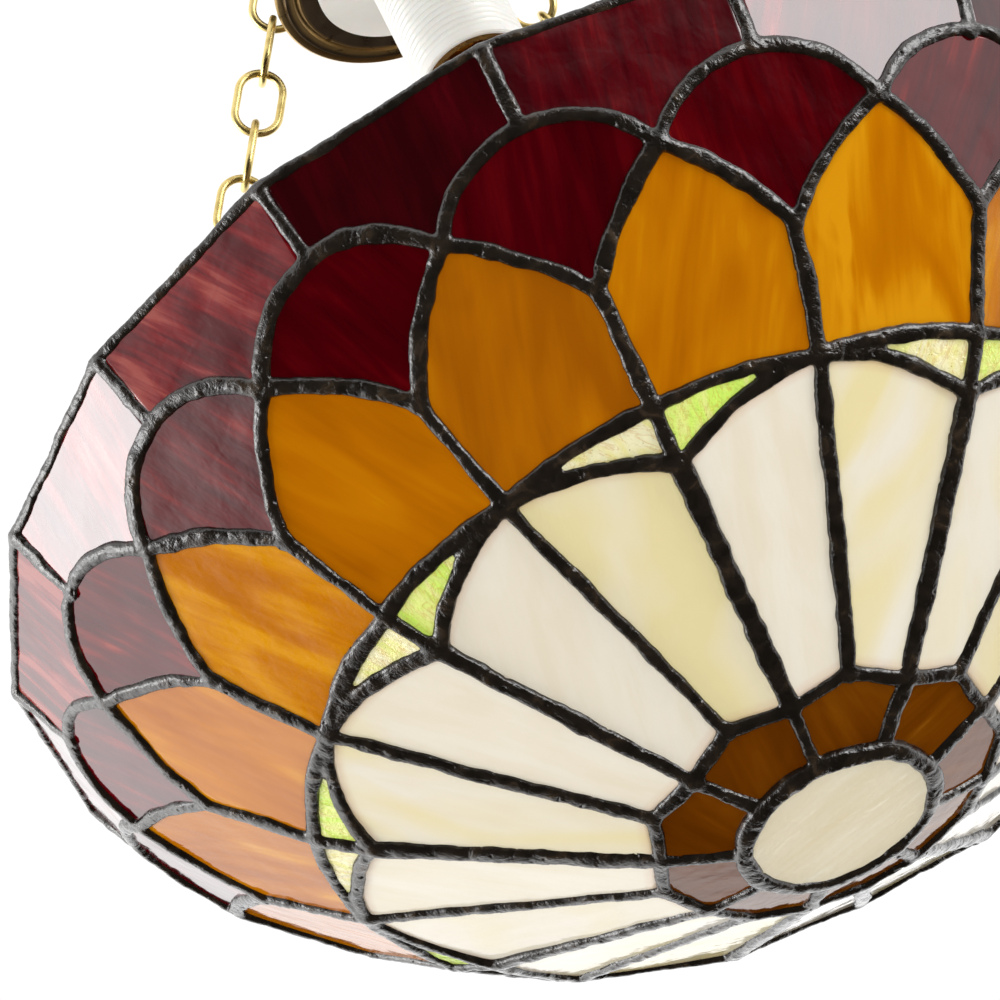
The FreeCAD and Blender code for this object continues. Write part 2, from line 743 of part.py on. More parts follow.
bracket = new_body("ceiling_bracket", "bracket_depth")
half_bridge, half_span = "bracket_bridge / 2", "bracket_length / 2"
inner_bridge = "bracket_bridge / 2 - bracket_sheet"
right_side = [
    (half_bridge, "0"), (half_bridge, "bracket_depth - bracket_sheet"),
    (half_span, "bracket_depth - bracket_sheet"), (half_span, "bracket_depth"),
    (inner_bridge, "bracket_depth"), (inner_bridge, "bracket_sheet"),
]
left_side = [(f"0 - ({across})", up) for across, up in reversed(right_side)]
hat = pad(bracket, outline(bracket, "bracket_outline", "XZ_Plane", right_side + left_side),
          "bracket_strip", "bracket_width")
hat.Midplane = True
cut(bracket, circles(bracket, "bracket_rod_ring", "XY_Plane", [("rod_offset", "0")],
                     "rod_radius + fit_gap"), "bracket_rod_hole", "bracket_sheet * 3", True)
cut(bracket, circles(bracket, "bracket_earth_ring", "XY_Plane", [("earth_screw_offset", "terminal_pitch")],
                     "earth_screw_radius + fit_gap"), "bracket_earth_hole", "bracket_sheet * 3", True)
foot_rings = [("bracket_hole_spacing / 2", "0"), ("0 - ( bracket_hole_spacing / 2 )", "0")]
cut(bracket, circles(bracket, "bracket_foot_rings", "XY_Plane", foot_rings, "bracket_hole_radius",
                     "bracket_depth"), "bracket_foot_holes", "bracket_sheet * 3", True)

turned("earth_screw", [
    ("0", "0"), ("earth_screw_radius", "0"), ("earth_screw_radius", "bracket_sheet * 2"),
    ("earth_screw_radius * 2", "bracket_sheet * 2"), ("earth_screw_radius * 2", "bracket_sheet * 3"),
    ("0", "bracket_sheet * 3"),
], "bracket_depth + bracket_sheet", "earth_screw_offset").setExpression(
    "Placement.Base.y", bound("terminal_pitch"))

block = new_body("terminal_block", "bracket_depth - bracket_sheet", "0 - block_offset")
pad(block, outline(block, "block_outline", "XY_Plane", box_corners("block_length / 2", "block_width / 2")),
    "block_body", "block_height")
terminals = [("block_length / 4", "terminal_pitch"), ("block_length / 4", "0"),
             ("block_length / 4", "0 - terminal_pitch")]
cut(block, circles(block, "block_wire_rings", "XY_Plane", terminals, "wire_radius + fit_gap",
                   "block_height"), "block_wire_holes", "block_height / 2")
supply = [(f"0 - ({across})", up) for across, up in terminals]
cut(block, circles(block, "block_supply_rings", "XY_Plane", supply, "wire_radius + fit_gap * 2",
                   "block_height"), "block_supply_holes", "block_height / 2")

# ---------------------------------------------------------------- rod, nuts, sleeve and cap

turned("threaded_rod", [
    ("rod_bore", "0"), ("rod_radius", "0"), ("rod_radius", "rod_foot_drop - rod_top_drop"),
    ("rod_bore", "rod_foot_drop - rod_top_drop"),
], "rod_foot_drop", "rod_offset")
hex_nut("upper_rod_nut", "bracket_depth - bracket_sheet", "rod_offset", "rod_radius + fit_gap / 2")
hex_nut("lower_rod_nut", "bracket_depth + nut_height", "rod_offset", "rod_radius + fit_gap / 2")
hex_nut("rose_nut", "rose_depth + nut_height", "rod_offset", "rod_radius + fit_gap / 2")

cap_top = "cap_seat_rise + cap_sheet"
sleeve_height = f"cap_drop - ( {cap_top} ) - rose_depth - nut_height"
turned("rod_sleeve", [
    ("rod_radius + fit_gap * 2", "0"), ("sleeve_radius", "0"), ("sleeve_radius", sleeve_height),
    ("rod_radius + fit_gap * 2", sleeve_height),
], f"cap_drop - ( {cap_top} )", "rod_offset")

cap = turned("stepped_cap", [
    ("0", "cap_seat_rise"), ("cap_seat_radius", "cap_seat_rise"), ("cap_seat_radius", "0"),
    ("cap_radius - cap_ring_foot", "0"), ("cap_radius - cap_ring_top", "cap_sheet * 0.9"),
    ("cap_radius - cap_ring_edge", "cap_sheet * 0.3"), ("cap_radius - cap_groove_edge", "cap_sheet * 0.2"),
    ("cap_radius - cap_bead_foot", "cap_sheet * 1.1"), ("cap_radius - cap_bead_edge", "cap_sheet * 0.7"),
    ("cap_radius", "cap_sheet * 1.1"), ("cap_radius", "cap_sheet * 2"),
    ("cap_radius - cap_waist", "cap_sheet * 3"), ("cap_radius - cap_waist", "cap_height"),
    ("cap_radius - cap_waist - cap_sheet", "cap_height"), ("cap_radius - cap_waist - cap_sheet", cap_top),
    ("0", cap_top),
], "cap_drop")
cut(cap, circles(cap, "cap_rod_ring", "XY_Plane", [("rod_offset", "0")], "rod_radius + fit_gap"),
    "cap_rod_hole", "cap_height * 2", True)

# ---------------------------------------------------------------- lampholder

flange = new_body("holder_flange", "flange_drop")
pad(flange, circles(flange, "flange_edge", "XY_Plane", [("0", "0")], "flange_radius"), "flange_disc",
    "flange_thickness")
cut(flange, circles(flange, "flange_rod_ring", "XY_Plane", [("rod_offset", "0")], "rod_radius + fit_gap"),
    "flange_rod_hole", "flange_thickness * 3", True)

dome_height = "holder_top_drop - flange_drop"
turned("holder_dome", [
    ("rod_radius + fit_gap / 2", f"spigot_depth + {dome_height}"),
    ("rod_radius + fit_gap / 2", f"spigot_depth + {dome_height} - dome_wall"),
    ("spigot_radius - dome_wall", f"spigot_depth + {dome_height} - dome_wall - dome_slope"),
    ("spigot_radius - dome_wall", "0"), ("spigot_radius", "0"), ("spigot_radius", "spigot_depth"),
    ("holder_radius", "spigot_depth"), ("holder_radius", "spigot_depth + dome_side"),
    ("holder_radius - dome_wall", f"spigot_depth + {dome_height}"),
], "holder_top_drop + spigot_depth", "rod_offset")


def threaded_skirt():
    """The outer tube: crests and roots of a round thread outside, a plain bore inside."""
    low, high = -size("mouth_drop"), -size("holder_top_drop")
    crest, bore = size("holder_radius"), size("holder_bore")
    root, pitch = crest - size("thread_depth"), size("thread_pitch")
    plain, chamfer = size("skirt_plain"), size("mouth_chamfer")
    turns = int((high - low - 2 * plain) / pitch)
    start = Vector(crest, 0, low + plain)
    edges = [Part.LineSegment(Vector(crest, 0, low + chamfer), start).toShape()]
    for _ in range(turns):
        middle = start + Vector(root - crest, 0, pitch / 2)
        end = start + Vector(0, 0, pitch)
        edges.append(Part.Arc(start, middle, end).toShape())
        start = end
    rest = [start, Vector(crest, 0, high), Vector(bore, 0, high), Vector(bore, 0, low),
            Vector(crest - chamfer, 0, low), Vector(crest, 0, low + chamfer)]
    edges += [Part.LineSegment(first, last).toShape() for first, last in zip(rest[:-1], rest[1:])]
    tube = Part.Face(Part.Wire(edges)).revolve(Vector(0, 0, 0), Vector(0, 0, 1), 360)
    tube.translate(Vector(size("rod_offset"), 0, 0))
    return tube


solid_of("holder_skirt", threaded_skirt())

insert = turned("contact_insert", [
    ("0", "0"), ("insert_radius", "0"), ("insert_radius", "insert_depth"), ("0", "insert_depth"),
], "insert_top_drop + insert_depth", "rod_offset")
cut(insert, circles(insert, "insert_recess_ring", "XY_Plane", [("0", "0")], "contact_radius + contact_gap"),
    "insert_recess", "contact_travel + contact_room + contact_head - contact_stand")
cut(insert, circles(insert, "insert_stem_ring", "XY_Plane", [("0", "0")], "contact_stem_radius + fit_gap"),
    "insert_stem_hole", "insert_depth * 3", True)

turned("centre_contact", [
    ("0", "0"), ("contact_face", "0"), ("contact_radius", "contact_chamfer"),
    ("contact_radius", "contact_head"), ("contact_stem_radius", "contact_head"),
    ("contact_stem_radius", "contact_head + contact_stem_length"),
    ("0", "contact_head + contact_stem_length"),
], "insert_top_drop + insert_depth + contact_stand", "rod_offset")


def screw_shell():
    """The brass shell: a rolled thread, a turned-in floor and a flared mouth."""
    top = -(size("insert_top_drop") + size("insert_depth"))
    low = size("shell_inset") - size("mouth_drop")
    wall, wave, pitch = size("shell_wall"), size("shell_wave"), size("shell_pitch")
    crest = size("shell_radius")
    turns = int((top - low - size("shell_plain")) / pitch)

    def thread_line(shift, knee):
        """The wall's line from the shoulder down to the knee of the mouth, moved outwards by shift."""
        start = Vector(crest - wave + shift, 0, top - size("shell_shoulder"))
        edges = []
        for _ in range(turns):
            middle = start + Vector(wave, 0, -pitch / 2)
            end = start + Vector(0, 0, -pitch)
            edges.append(Part.Arc(start, middle, end).toShape())
            start = end
        edges.append(Part.LineSegment(start, knee).toShape())
        return edges

    flare = crest + size("shell_knee")
    inner_knee, outer_knee = Vector(flare - wall, 0, low), Vector(flare, 0, low + wall)
    inner, outer = thread_line(-wall, inner_knee), thread_line(0, outer_knee)
    first_in, first_out = inner[0].Vertexes[0].Point, outer[0].Vertexes[0].Point
    floor_hole = size("contact_radius") + size("floor_gap")
    low_rim, high_rim = Vector(size("shell_flare"), 0, low), Vector(size("shell_flare"), 0, low + wall)
    floor = [first_in, Vector(first_in.x, 0, top - wall), Vector(floor_hole, 0, top - wall),
             Vector(floor_hole, 0, top), Vector(first_out.x, 0, top), first_out]
    mouth = [outer_knee, high_rim, low_rim, inner_knee]
    edges = outer + inner
    for points in (floor, mouth):
        edges += [Part.LineSegment(first, last).toShape() for first, last in zip(points[:-1], points[1:])]
    wire = Part.Wire(Part.sortEdges(edges)[0])
    shell = Part.Face(wire).revolve(Vector(0, 0, 0), Vector(0, 0, 1), 360)
    shell.translate(Vector(size("rod_offset"), 0, 0))
    return shell


solid_of("screw_shell", screw_shell())

# ---------------------------------------------------------------- small nuts and wires


def small_nut(angle):
    flats, height = size("small_nut_flats"), size("small_nut_height")
    top = radial(angle) * size("chain_top_radius")
    foot = Vector(top.x, top.y, size("rose_wall") - size("rose_depth"))
    corners = [foot + radial(angle + 60 * step) * (flats / math.sqrt(3)) for step in range(6)]
    block_shape = Part.Face(Part.makePolygon(corners + corners[:1])).extrude(Vector(0, 0, height))
    return block_shape.cut(Part.makeCylinder((size("eye_wire") + size("fit_gap")) / 2, height, foot))


solid_of("eye_nuts", Part.makeCompound([small_nut(angle) for angle in CHAINS.values()]))


def bent_wire(points, radius, bend):
    """A round wire of straight runs joined by arcs of one bend radius."""
    edges = []
    start = points[0]
    for before, turn, after in zip(points[:-2], points[1:-1], points[2:]):
        into = (turn - before).normalize()
        out = (after - turn).normalize()
        half_angle = into.getAngle(out) / 2
        setback = bend * math.tan(half_angle)
        arc_start, arc_end = turn - into * setback, turn + out * setback
        inwards = (out - into).normalize()
        middle = turn + inwards * (bend / math.cos(half_angle) - bend)
        edges.append(Part.LineSegment(start, arc_start).toShape())
        edges.append(Part.Arc(arc_start, middle, arc_end).toShape())
        start = arc_end
    edges.append(Part.LineSegment(start, points[-1]).toShape())
    path = Part.Wire(edges)
    circle = Part.Circle(points[0], points[1] - points[0], radius)
    return path.makePipeShell([Part.Wire([circle.toShape()])], True, False)


terminal_x = size("block_length") / 4 - size("block_offset")
terminal_z = -size("bracket_depth") + size("bracket_sheet") + size("block_height") / 2
rod_axis = size("rod_offset")
insert_top = -size("insert_top_drop")
for name, step, side in (("live_wire", 0, 1), ("neutral_wire", -1, -1)):
    terminal_y = step * size("terminal_pitch")
    down = Vector(rod_axis, side * size("wire_lane"), insert_top)
    route = [
        Vector(terminal_x, terminal_y, terminal_z), Vector(terminal_x, terminal_y, -size("wire_top_drop")),
        Vector(down.x, down.y, -size("wire_top_drop")), down,
    ]
    solid_of(name, bent_wire(route, size("wire_radius"), size("wire_bend")))
earth_x = size("earth_screw_offset")
screw_top = 2 * size("bracket_sheet") - size("bracket_depth")
solid_of("earth_wire", bent_wire([
    Vector(terminal_x, size("terminal_pitch"), terminal_z),
    Vector(terminal_x, size("terminal_pitch"), -size("wire_top_drop")),
    Vector(earth_x, size("terminal_pitch"), -size("wire_top_drop")),
    Vector(earth_x, size("terminal_pitch"), screw_top),
], size("wire_radius"), size("wire_bend")))

# ---------------------------------------------------------------- write

doc.recompute()
os.makedirs("parts", exist_ok=True)
for thing in doc.Objects:
    if "Invalid" in thing.State or "Error" in thing.State:
        raise RuntimeError(f"{thing.Label} did not build: {thing.State}")
for thing in SUB_PARTS:
    shape = thing.Shape
    if shape.isNull() or not shape.isValid() or shape.Volume <= 0:
        raise RuntimeError(f"{thing.Label} has no valid shape")
    shape.exportStep(f"parts/{thing.Label}.step")
    print(thing.Label, len(shape.Solids), "solids", round(shape.Volume), "mm3")
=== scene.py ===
import math
import random

import bpy
import numpy as np
from mathutils import Matrix, Vector, noise


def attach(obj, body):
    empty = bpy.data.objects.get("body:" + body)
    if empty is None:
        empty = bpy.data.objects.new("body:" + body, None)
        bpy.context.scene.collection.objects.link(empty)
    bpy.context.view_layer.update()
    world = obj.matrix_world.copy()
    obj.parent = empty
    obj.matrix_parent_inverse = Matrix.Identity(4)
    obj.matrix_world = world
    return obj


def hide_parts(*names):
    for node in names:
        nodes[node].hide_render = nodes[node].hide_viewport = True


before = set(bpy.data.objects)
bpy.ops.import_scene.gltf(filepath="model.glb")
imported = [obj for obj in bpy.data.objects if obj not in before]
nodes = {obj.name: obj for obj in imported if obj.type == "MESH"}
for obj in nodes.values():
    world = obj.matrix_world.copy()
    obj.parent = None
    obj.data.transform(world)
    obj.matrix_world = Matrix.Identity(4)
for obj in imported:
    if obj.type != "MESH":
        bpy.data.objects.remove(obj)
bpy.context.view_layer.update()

# A chain-hung bowl of copper-foiled glass. The glass and the solder are rebuilt here in detail;
# the chains, the rose and the lampholder keep their CAD shapes and get materials.
# Lengths of the bowl are millimetres, in the CAD frame, and turn into metres in new_mesh.

MM = 0.001

# ---------------------------------------------------------------- seam lines of the bowl

# The pattern repeats nine times, and each repeat is two facets wide. Seams are counted round the bowl
# from 0, even ones where two petals meet over a hub corner; half numbers are the middles of facets.
REPEATS = 9
FACET_ANGLE = 180 / REPEATS
FIRST_ANGLE = -10
BOWL_DROP = 460
GLASS = 3.0
# Each ring's radius, and its height over the bottom of the bowl
RINGS = {
    "hub_inner": (32.4, 2.2), "hub_corner": (54.4, 9.2), "hub_tip": (57.8, 11.4),
    "petal_corner": (132.4, 48.6), "petal_tip": (145.8, 58.9), "leaf_top": (147.1, 59.8),
    "fork": (173.1, 85.4), "flame_tip": (195.4, 109.7), "arch": (204.5, 126.2), "rim": (215, 150.3),
}
SLOPE_RINGS = ("hub_inner", "hub_corner", "petal_corner", "leaf_top", "fork", "flame_tip", "arch", "rim")
DISC_RADIUS = 31
PETAL_BULGE = 4.2
LEAF_BULGE = 2.6
FLAME_BULGE = 2.8
TINY = 1e-6


def unit(vector):
    return vector / np.linalg.norm(vector)


def corner(ring, seam):
    angle = math.radians(FIRST_ANGLE - seam * FACET_ANGLE)
    radius, rise = RINGS[ring]
    return np.array([radius * math.cos(angle), radius * math.sin(angle), rise - BOWL_DROP])


def outward(point):
    """The bowl's outward direction near a point."""
    radius = max(math.hypot(point[0], point[1]), TINY)
    for low, high in zip(SLOPE_RINGS[:-1], SLOPE_RINGS[1:]):
        across = RINGS[high][0] - RINGS[low][0]
        up = RINGS[high][1] - RINGS[low][1]
        if radius < RINGS[high][0]:
            break
    length = math.hypot(across, up)
    return np.array([point[0] / radius * up / length, point[1] / radius * up / length, -across / length])


def arc_points(start, middle, end, spacing):
    """Points along the arc through three points; the end isn't included."""
    if middle is None:
        count = max(1, round(np.linalg.norm(end - start) / spacing))
        return [start + (end - start) * step / count for step in range(count)]
    a, b = middle - start, end - start
    normal = np.cross(a, b)
    towards = np.dot(b, b) * np.cross(normal, a) - np.dot(a, a) * np.cross(normal, b)
    centre = start + towards / (2 * np.dot(normal, normal))
    x_axis = start - centre
    y_axis = np.cross(unit(normal), x_axis)

    def angle_of(point):
        return math.atan2(np.dot(point - centre, y_axis), np.dot(point - centre, x_axis)) % (2 * math.pi)

    sweep = angle_of(end)
    count = max(2, round(sweep * np.linalg.norm(x_axis) / spacing))
    turns = [sweep * step / count for step in range(count)]
    return [centre + x_axis * math.cos(turn) + y_axis * math.sin(turn) for turn in turns]


def bulged(start, end, bulge):
    """The middle of an edge, moved sideways on the bowl towards the rim."""
    middle = (start + end) / 2
    side = unit(np.cross(end - start, outward(middle)))
    return middle + side * math.copysign(bulge, side[2])


# An edge is its start, a point on its arc or None, and its end.


def petal_edge(even, odd):
    start, end = corner("petal_corner", even), corner("petal_tip", odd)
    return start, bulged(start, end, PETAL_BULGE), end


def leaf_edge(even, odd):
    start, end = corner("leaf_top", even), corner("petal_tip", odd)
    return start, bulged(start, end, LEAF_BULGE), end


def flame_edge(seam, side):
    """From the fork on a seam to the flame tip before or after it; side is -1 or 1."""
    start, end = corner("fork", seam), corner("flame_tip", seam + side / 2)
    middle = (start + end) / 2
    away = unit(np.cross(end - start, outward(middle)))
    inside = corner("petal_tip", seam + side / 2) - middle
    if np.dot(away, inside) > 0:
        away = -away
    return start, middle + away * FLAME_BULGE, end


def scallop_edge(seam):
    """The arch over one seam, from flame tip to flame tip."""
    return corner("flame_tip", seam - 0.5), corner("arch", seam), corner("flame_tip", seam + 0.5)


def arch_half(seam, side):
    """Half a scallop's arc, from its top to one flame tip."""
    first, top, last = scallop_edge(seam)
    whole = arc_points(first, top, last, spacing=1.0) + [last]
    nearest = min(range(len(whole)), key=lambda index: np.linalg.norm(whole[index] - top))
    half = whole[nearest:] if side > 0 else whole[nearest::-1]
    return top, half[len(half) // 2], half[-1]


def line(start, end):
    return start, None, end


def backwards(edge):
    return edge[2], edge[1], edge[0]


# ---------------------------------------------------------------- outlines of the glass


def hub_outline(seam):
    left, tip, right = corner("hub_corner", seam - 1), corner("hub_tip", seam), corner("hub_corner", seam + 1)
    arc = (corner("hub_inner", seam + 1), corner("hub_inner", seam), corner("hub_inner", seam - 1))
    return [line(left, tip), line(tip, right), line(right, arc[0]), arc, line(arc[2], left)]


def petal_outline(even, odd):
    start, end = corner("hub_corner", even), corner("hub_tip", odd)
    outer = petal_edge(even, odd)
    return [line(start, end), line(end, outer[2]), backwards(outer), line(outer[0], start)]


def leaf_outline(even, odd):
    inner, outer = petal_edge(even, odd), leaf_edge(even, odd)
    return [inner, backwards(outer), line(outer[0], inner[0])]


def flame_outline(even, odd):
    side = odd - even
    foot = leaf_edge(even, odd)
    left, right = flame_edge(even, side), flame_edge(odd, -side)
    return [foot, line(foot[2], right[0]), right, backwards(left), line(left[0], foot[0])]


def scallop_outline(seam):
    return [backwards(flame_edge(seam, -1)), flame_edge(seam, 1), backwards(scallop_edge(seam))]


def rim_outline(seam):
    left, right = arch_half(seam, 1), arch_half(seam + 1, -1)
    corners = corner("rim", seam), corner("rim", seam + 1)
    return [line(corners[0], left[0]), left, backwards(right), line(right[0], corners[1]),
            line(corners[1], corners[0])]


def on_disc_edge(turn, rise=0):
    return np.array([DISC_RADIUS * math.cos(turn), DISC_RADIUS * math.sin(turn), rise - BOWL_DROP])


def disc_outline():
    """The round disc as two half circles."""
    quarters = [on_disc_edge(turn) for turn in np.linspace(0, 2 * math.pi, 5)]
    return [quarters[:3], quarters[2:]]


SEAMS = range(2 * REPEATS)
PAIRS = [(even, even + side) for even in range(0, 2 * REPEATS, 2) for side in (-1, 1)]

# ---------------------------------------------------------------- meshes


def new_mesh(name, points, faces):
    """A smooth-shaded object from points in millimetres."""
    mesh = bpy.data.meshes.new(name)
    mesh.from_pydata([tuple(point * MM) for point in points], [], faces)
    mesh.validate()
    mesh.update()
    mesh.polygons.foreach_set("use_smooth", [True] * len(mesh.polygons))
    thing = bpy.data.objects.new(name, mesh)
    bpy.context.scene.collection.objects.link(thing)
    return thing


def wave(point, scale, seed):
    """Smooth noise from -1 to 1 or so."""
    return noise.noise(Vector(point) / scale + Vector((seed, seed * 0.7, -seed)))


# A pane is built of rings, each a smaller copy of its outline cut back by the foil gap
LOOP_SCALES = (1.0, 0.95, 0.86, 0.74, 0.6, 0.45, 0.3, 0.15)
FOIL_GAP = 1.0
# Height of the ripple in its faces, its two wavelengths, the fine one's share, and its fading at the edge
RIPPLE = 0.14
BROAD_WAVE = 11
FINE_WAVE = 4
FINE_SHARE = 0.25
FADE = 6
LEAST_RIPPLE = 0.15
BACK_SEED = 50
# A pane this level has no uphill of its own; streaks lean from uphill by up to 30 degrees
NEAR_LEVEL = 0.999
MOST_LEAN = 30
# Each pane is cut from its own place on a large sheet of streaks, measured in units of 100 mm
SHEET = 500
FLOW_SCALE = 0.01
# How much chance adds to a listed tone
TONE_CHANCE = 0.1


def cut_outline(edges, spacing):
    """A piece's flat outline cut back by the foil gap, with its centre and outward direction."""
    loop = [point for edge in edges for point in arc_points(*edge, spacing)]
    centre = sum(loop) / len(loop)
    normal = np.zeros(3)
    for here, after in zip(loop, loop[1:] + loop[:1]):
        normal += np.cross(here - centre, after - centre)
    normal = unit(normal)
    if np.dot(normal, outward(centre)) < 0:
        normal = -normal
        loop.reverse()
    flat = [point - normal * np.dot(point - centre, normal) for point in loop]
    cut = [centre + (point - centre) * (1 - FOIL_GAP / np.linalg.norm(point - centre)) for point in flat]
    return cut, centre, normal


def grain_axes(normal, chance):
    """Directions along and across the streaks of a piece, near to straight up the bowl."""
    uphill = np.array([1.0, 0, 0])
    if abs(normal[2]) < NEAR_LEVEL:
        uphill = unit(np.array([0, 0, 1.0]) - normal * normal[2])
    lean = math.radians(chance.uniform(-MOST_LEAN, MOST_LEAN))
    grain = uphill * math.cos(lean) + np.cross(normal, uphill) * math.sin(lean)
    return grain, np.cross(normal, grain)


def pane_faces(base, size):
    """Faces of one pane: both sides as rings round a hub, then the rim between them."""
    faces = []
    layer = size * len(LOOP_SCALES) + 1
    for depth in (0, 1):
        start = base + depth * layer
        side = []
        for ring in range(len(LOOP_SCALES) - 1):
            for step in range(size):
                a = start + ring * size + step
                b = start + ring * size + (step + 1) % size
                side.append([a, b, b + size, a + size])
        hub = start + size * len(LOOP_SCALES)
        last = hub - size
        side += [[last + step, last + (step + 1) % size, hub] for step in range(size)]
        faces += [face[::-1] for face in side] if depth else side
    for step in range(size):
        a, b = base + step, base + (step + 1) % size
        faces.append([b, a, a + layer, b + layer])
    return faces


def glass_group(name, outlines, spacing, ripple=RIPPLE, tones=None):
    """One object of several cut pieces, with the attributes that its material reads."""
    points, faces, flow, tone, inset = [], [], [], [], []
    for index, edges in enumerate(outlines):
        chance = random.Random(f"{name}{index}")
        outline, centre, normal = cut_outline(edges, spacing)
        grain, cross_grain = grain_axes(normal, chance)
        shift = np.array([chance.uniform(-SHEET, SHEET) for _ in range(3)])
        value = chance.random()
        if tones:
            value = tones[index % len(tones)] + (value - 0.5) * TONE_CHANCE
        faces += pane_faces(len(points), len(outline))
        for depth in (0, 1):
            for scale in LOOP_SCALES + (0,):
                ring = [centre + (point - centre) * scale for point in outline] if scale else [centre]
                for point in ring:
                    lift = wave(point, BROAD_WAVE, index + depth * BACK_SEED) * ripple
                    lift += wave(point, FINE_WAVE, index) * ripple * FINE_SHARE
                    lift *= min(1.0, (1 - scale) * FADE + LEAST_RIPPLE)
                    points.append(point + normal * (lift - GLASS * depth))
                    along, across = np.dot(point - centre, grain), np.dot(point - centre, cross_grain)
                    flow.append(np.array([along, across, GLASS * depth]) * FLOW_SCALE + shift)
                    tone.append(value)
                    inset.append(scale)
    thing = new_mesh(name, points, faces)
    attributes = thing.data.attributes
    attributes.new("flow", "FLOAT_VECTOR", "POINT").data.foreach_set("vector", np.array(flow).ravel())
    attributes.new("tone", "FLOAT", "POINT").data.foreach_set("value", tone)
    attributes.new("inset", "FLOAT", "POINT").data.foreach_set("value", inset)
    return thing


# ---------------------------------------------------------------- solder

# A bead's width, the width of the long seams over hub corners, and a bead's height on each side
BEAD_WIDTH = 4.9
BROAD_SEAM = 6.3
BEAD_HEIGHT = 1.5
INNER_HEIGHT = 1.1
# A bead's section is two half rounds of seven points; below 1 the flatness squares them
FLATNESS = 0.6
HALF_SECTION = 7
# Waves along a bead: length, share and seed step of each
WIDTH_WAVES = ((16, 0.2, 0), (6, 0.16, 0))
HEIGHT_WAVES = ((9, 0.2, 7), (3, 0.14, 9))
# How far a bead wanders sideways, and how ragged its two edges are
WANDER = 0.7
WANDER_WAVE = 14
WANDER_STEP = 5
RAGGED = 0.09
RAGGED_WAVE = 3.2
EDGE_STEPS = (3, 11)
# The drops where seams meet: half a drop's height, and its middle's height over the glass
BLOB_BANDS = 6
BLOB_SIDES = 12
BLOB_HALF = 1.15
BLOB_RISE = 0.45
BLOB_UNEVEN = 0.14
BLOB_WAVE = 3
ANY_AXIS = np.array([0.3, 0.2, 1.0])


def uneven(point, seed, waves):
    """A factor near 1 that wanders along the seams."""
    return sum((share * wave(point, length, seed + step) for length, share, step in waves), 1)


class Tangle:
    """Closed meshes collected before they are fused into one skin."""

    def __init__(self):
        self.points = []
        self.faces = []

    def sweep(self, path, width, seed, closed=False, proud=BEAD_HEIGHT, inside=INNER_HEIGHT):
        """A lumpy bar of solder along a path on the bowl, standing proud of both faces of the glass."""
        half_round = np.linspace(0, math.pi, HALF_SECTION)
        section = [(math.cos(turn), math.copysign(abs(math.sin(turn)) ** FLATNESS, math.sin(turn)))
                   for turn in [*half_round, *(half_round + math.pi)]]
        size = len(section)
        base = len(self.points)
        count = len(path)
        for index, point in enumerate(path):
            before = path[index - 1] if index or closed else point
            after = path[(index + 1) % count] if index < count - 1 or closed else point
            along = unit(after - before)
            across = unit(np.cross(along, outward(point)))
            normal = unit(np.cross(across, along))
            if np.dot(normal, outward(point)) < 0:
                normal = -normal
            broad = width / 2 * uneven(point, seed, WIDTH_WAVES)
            high = proud * uneven(point, seed, HEIGHT_WAVES)
            shift = across * WANDER * wave(point, WANDER_WAVE, seed + WANDER_STEP)
            for order, (side, up) in enumerate(section):
                level = high * up if order < len(half_round) else -GLASS + inside * up
                ragged = 1 + RAGGED * wave(point, RAGGED_WAVE, seed + EDGE_STEPS[0 if side > 0 else 1])
                self.points.append(point + shift + across * side * broad * ragged + normal * level)
        for index in range(count if closed else count - 1):
            here, there = base + index * size, base + (index + 1) % count * size
            for step in range(size):
                beside = (step + 1) % size
                self.faces.append([here + step, here + beside, there + beside, there + step])
        if not closed:
            self.faces.append([base + step for step in range(size)][::-1])
            self.faces.append([base + (count - 1) * size + step for step in range(size)])

    def blob(self, point, radius, seed):
        """A flattened drop of solder on each face of the glass where seams meet."""
        normal = outward(point)
        x_axis = unit(np.cross(normal, ANY_AXIS))
        y_axis = np.cross(normal, x_axis)
        for middle in (BLOB_RISE, -GLASS - BLOB_RISE):
            start = len(self.points)
            for band in range(1, BLOB_BANDS):
                tilt = math.pi * band / BLOB_BANDS
                level = point + normal * (middle + BLOB_HALF * math.cos(tilt))
                for step in range(BLOB_SIDES):
                    turn = 2 * math.pi * step / BLOB_SIDES
                    reach = radius * (1 + BLOB_UNEVEN * wave((step, seed, band), BLOB_WAVE, seed))
                    away = x_axis * math.cos(turn) + y_axis * math.sin(turn)
                    self.points.append(level + reach * math.sin(tilt) * away)
            self.points.append(point + normal * (middle + BLOB_HALF))
            self.points.append(point + normal * (middle - BLOB_HALF))
            top, foot = len(self.points) - 2, len(self.points) - 1
            last = start + (BLOB_BANDS - 2) * BLOB_SIDES
            for ring in range(start, last, BLOB_SIDES):
                for step in range(BLOB_SIDES):
                    a, b = ring + step, ring + (step + 1) % BLOB_SIDES
                    self.faces.append([a, a + BLOB_SIDES, b + BLOB_SIDES, b])
            for step in range(BLOB_SIDES):
                beside = (step + 1) % BLOB_SIDES
                self.faces.append([start + step, start + beside, top])
                self.faces.append([last + beside, last + step, foot])


def path_of(edge, spacing=1.4):
    return arc_points(*edge, spacing) + [edge[2]]


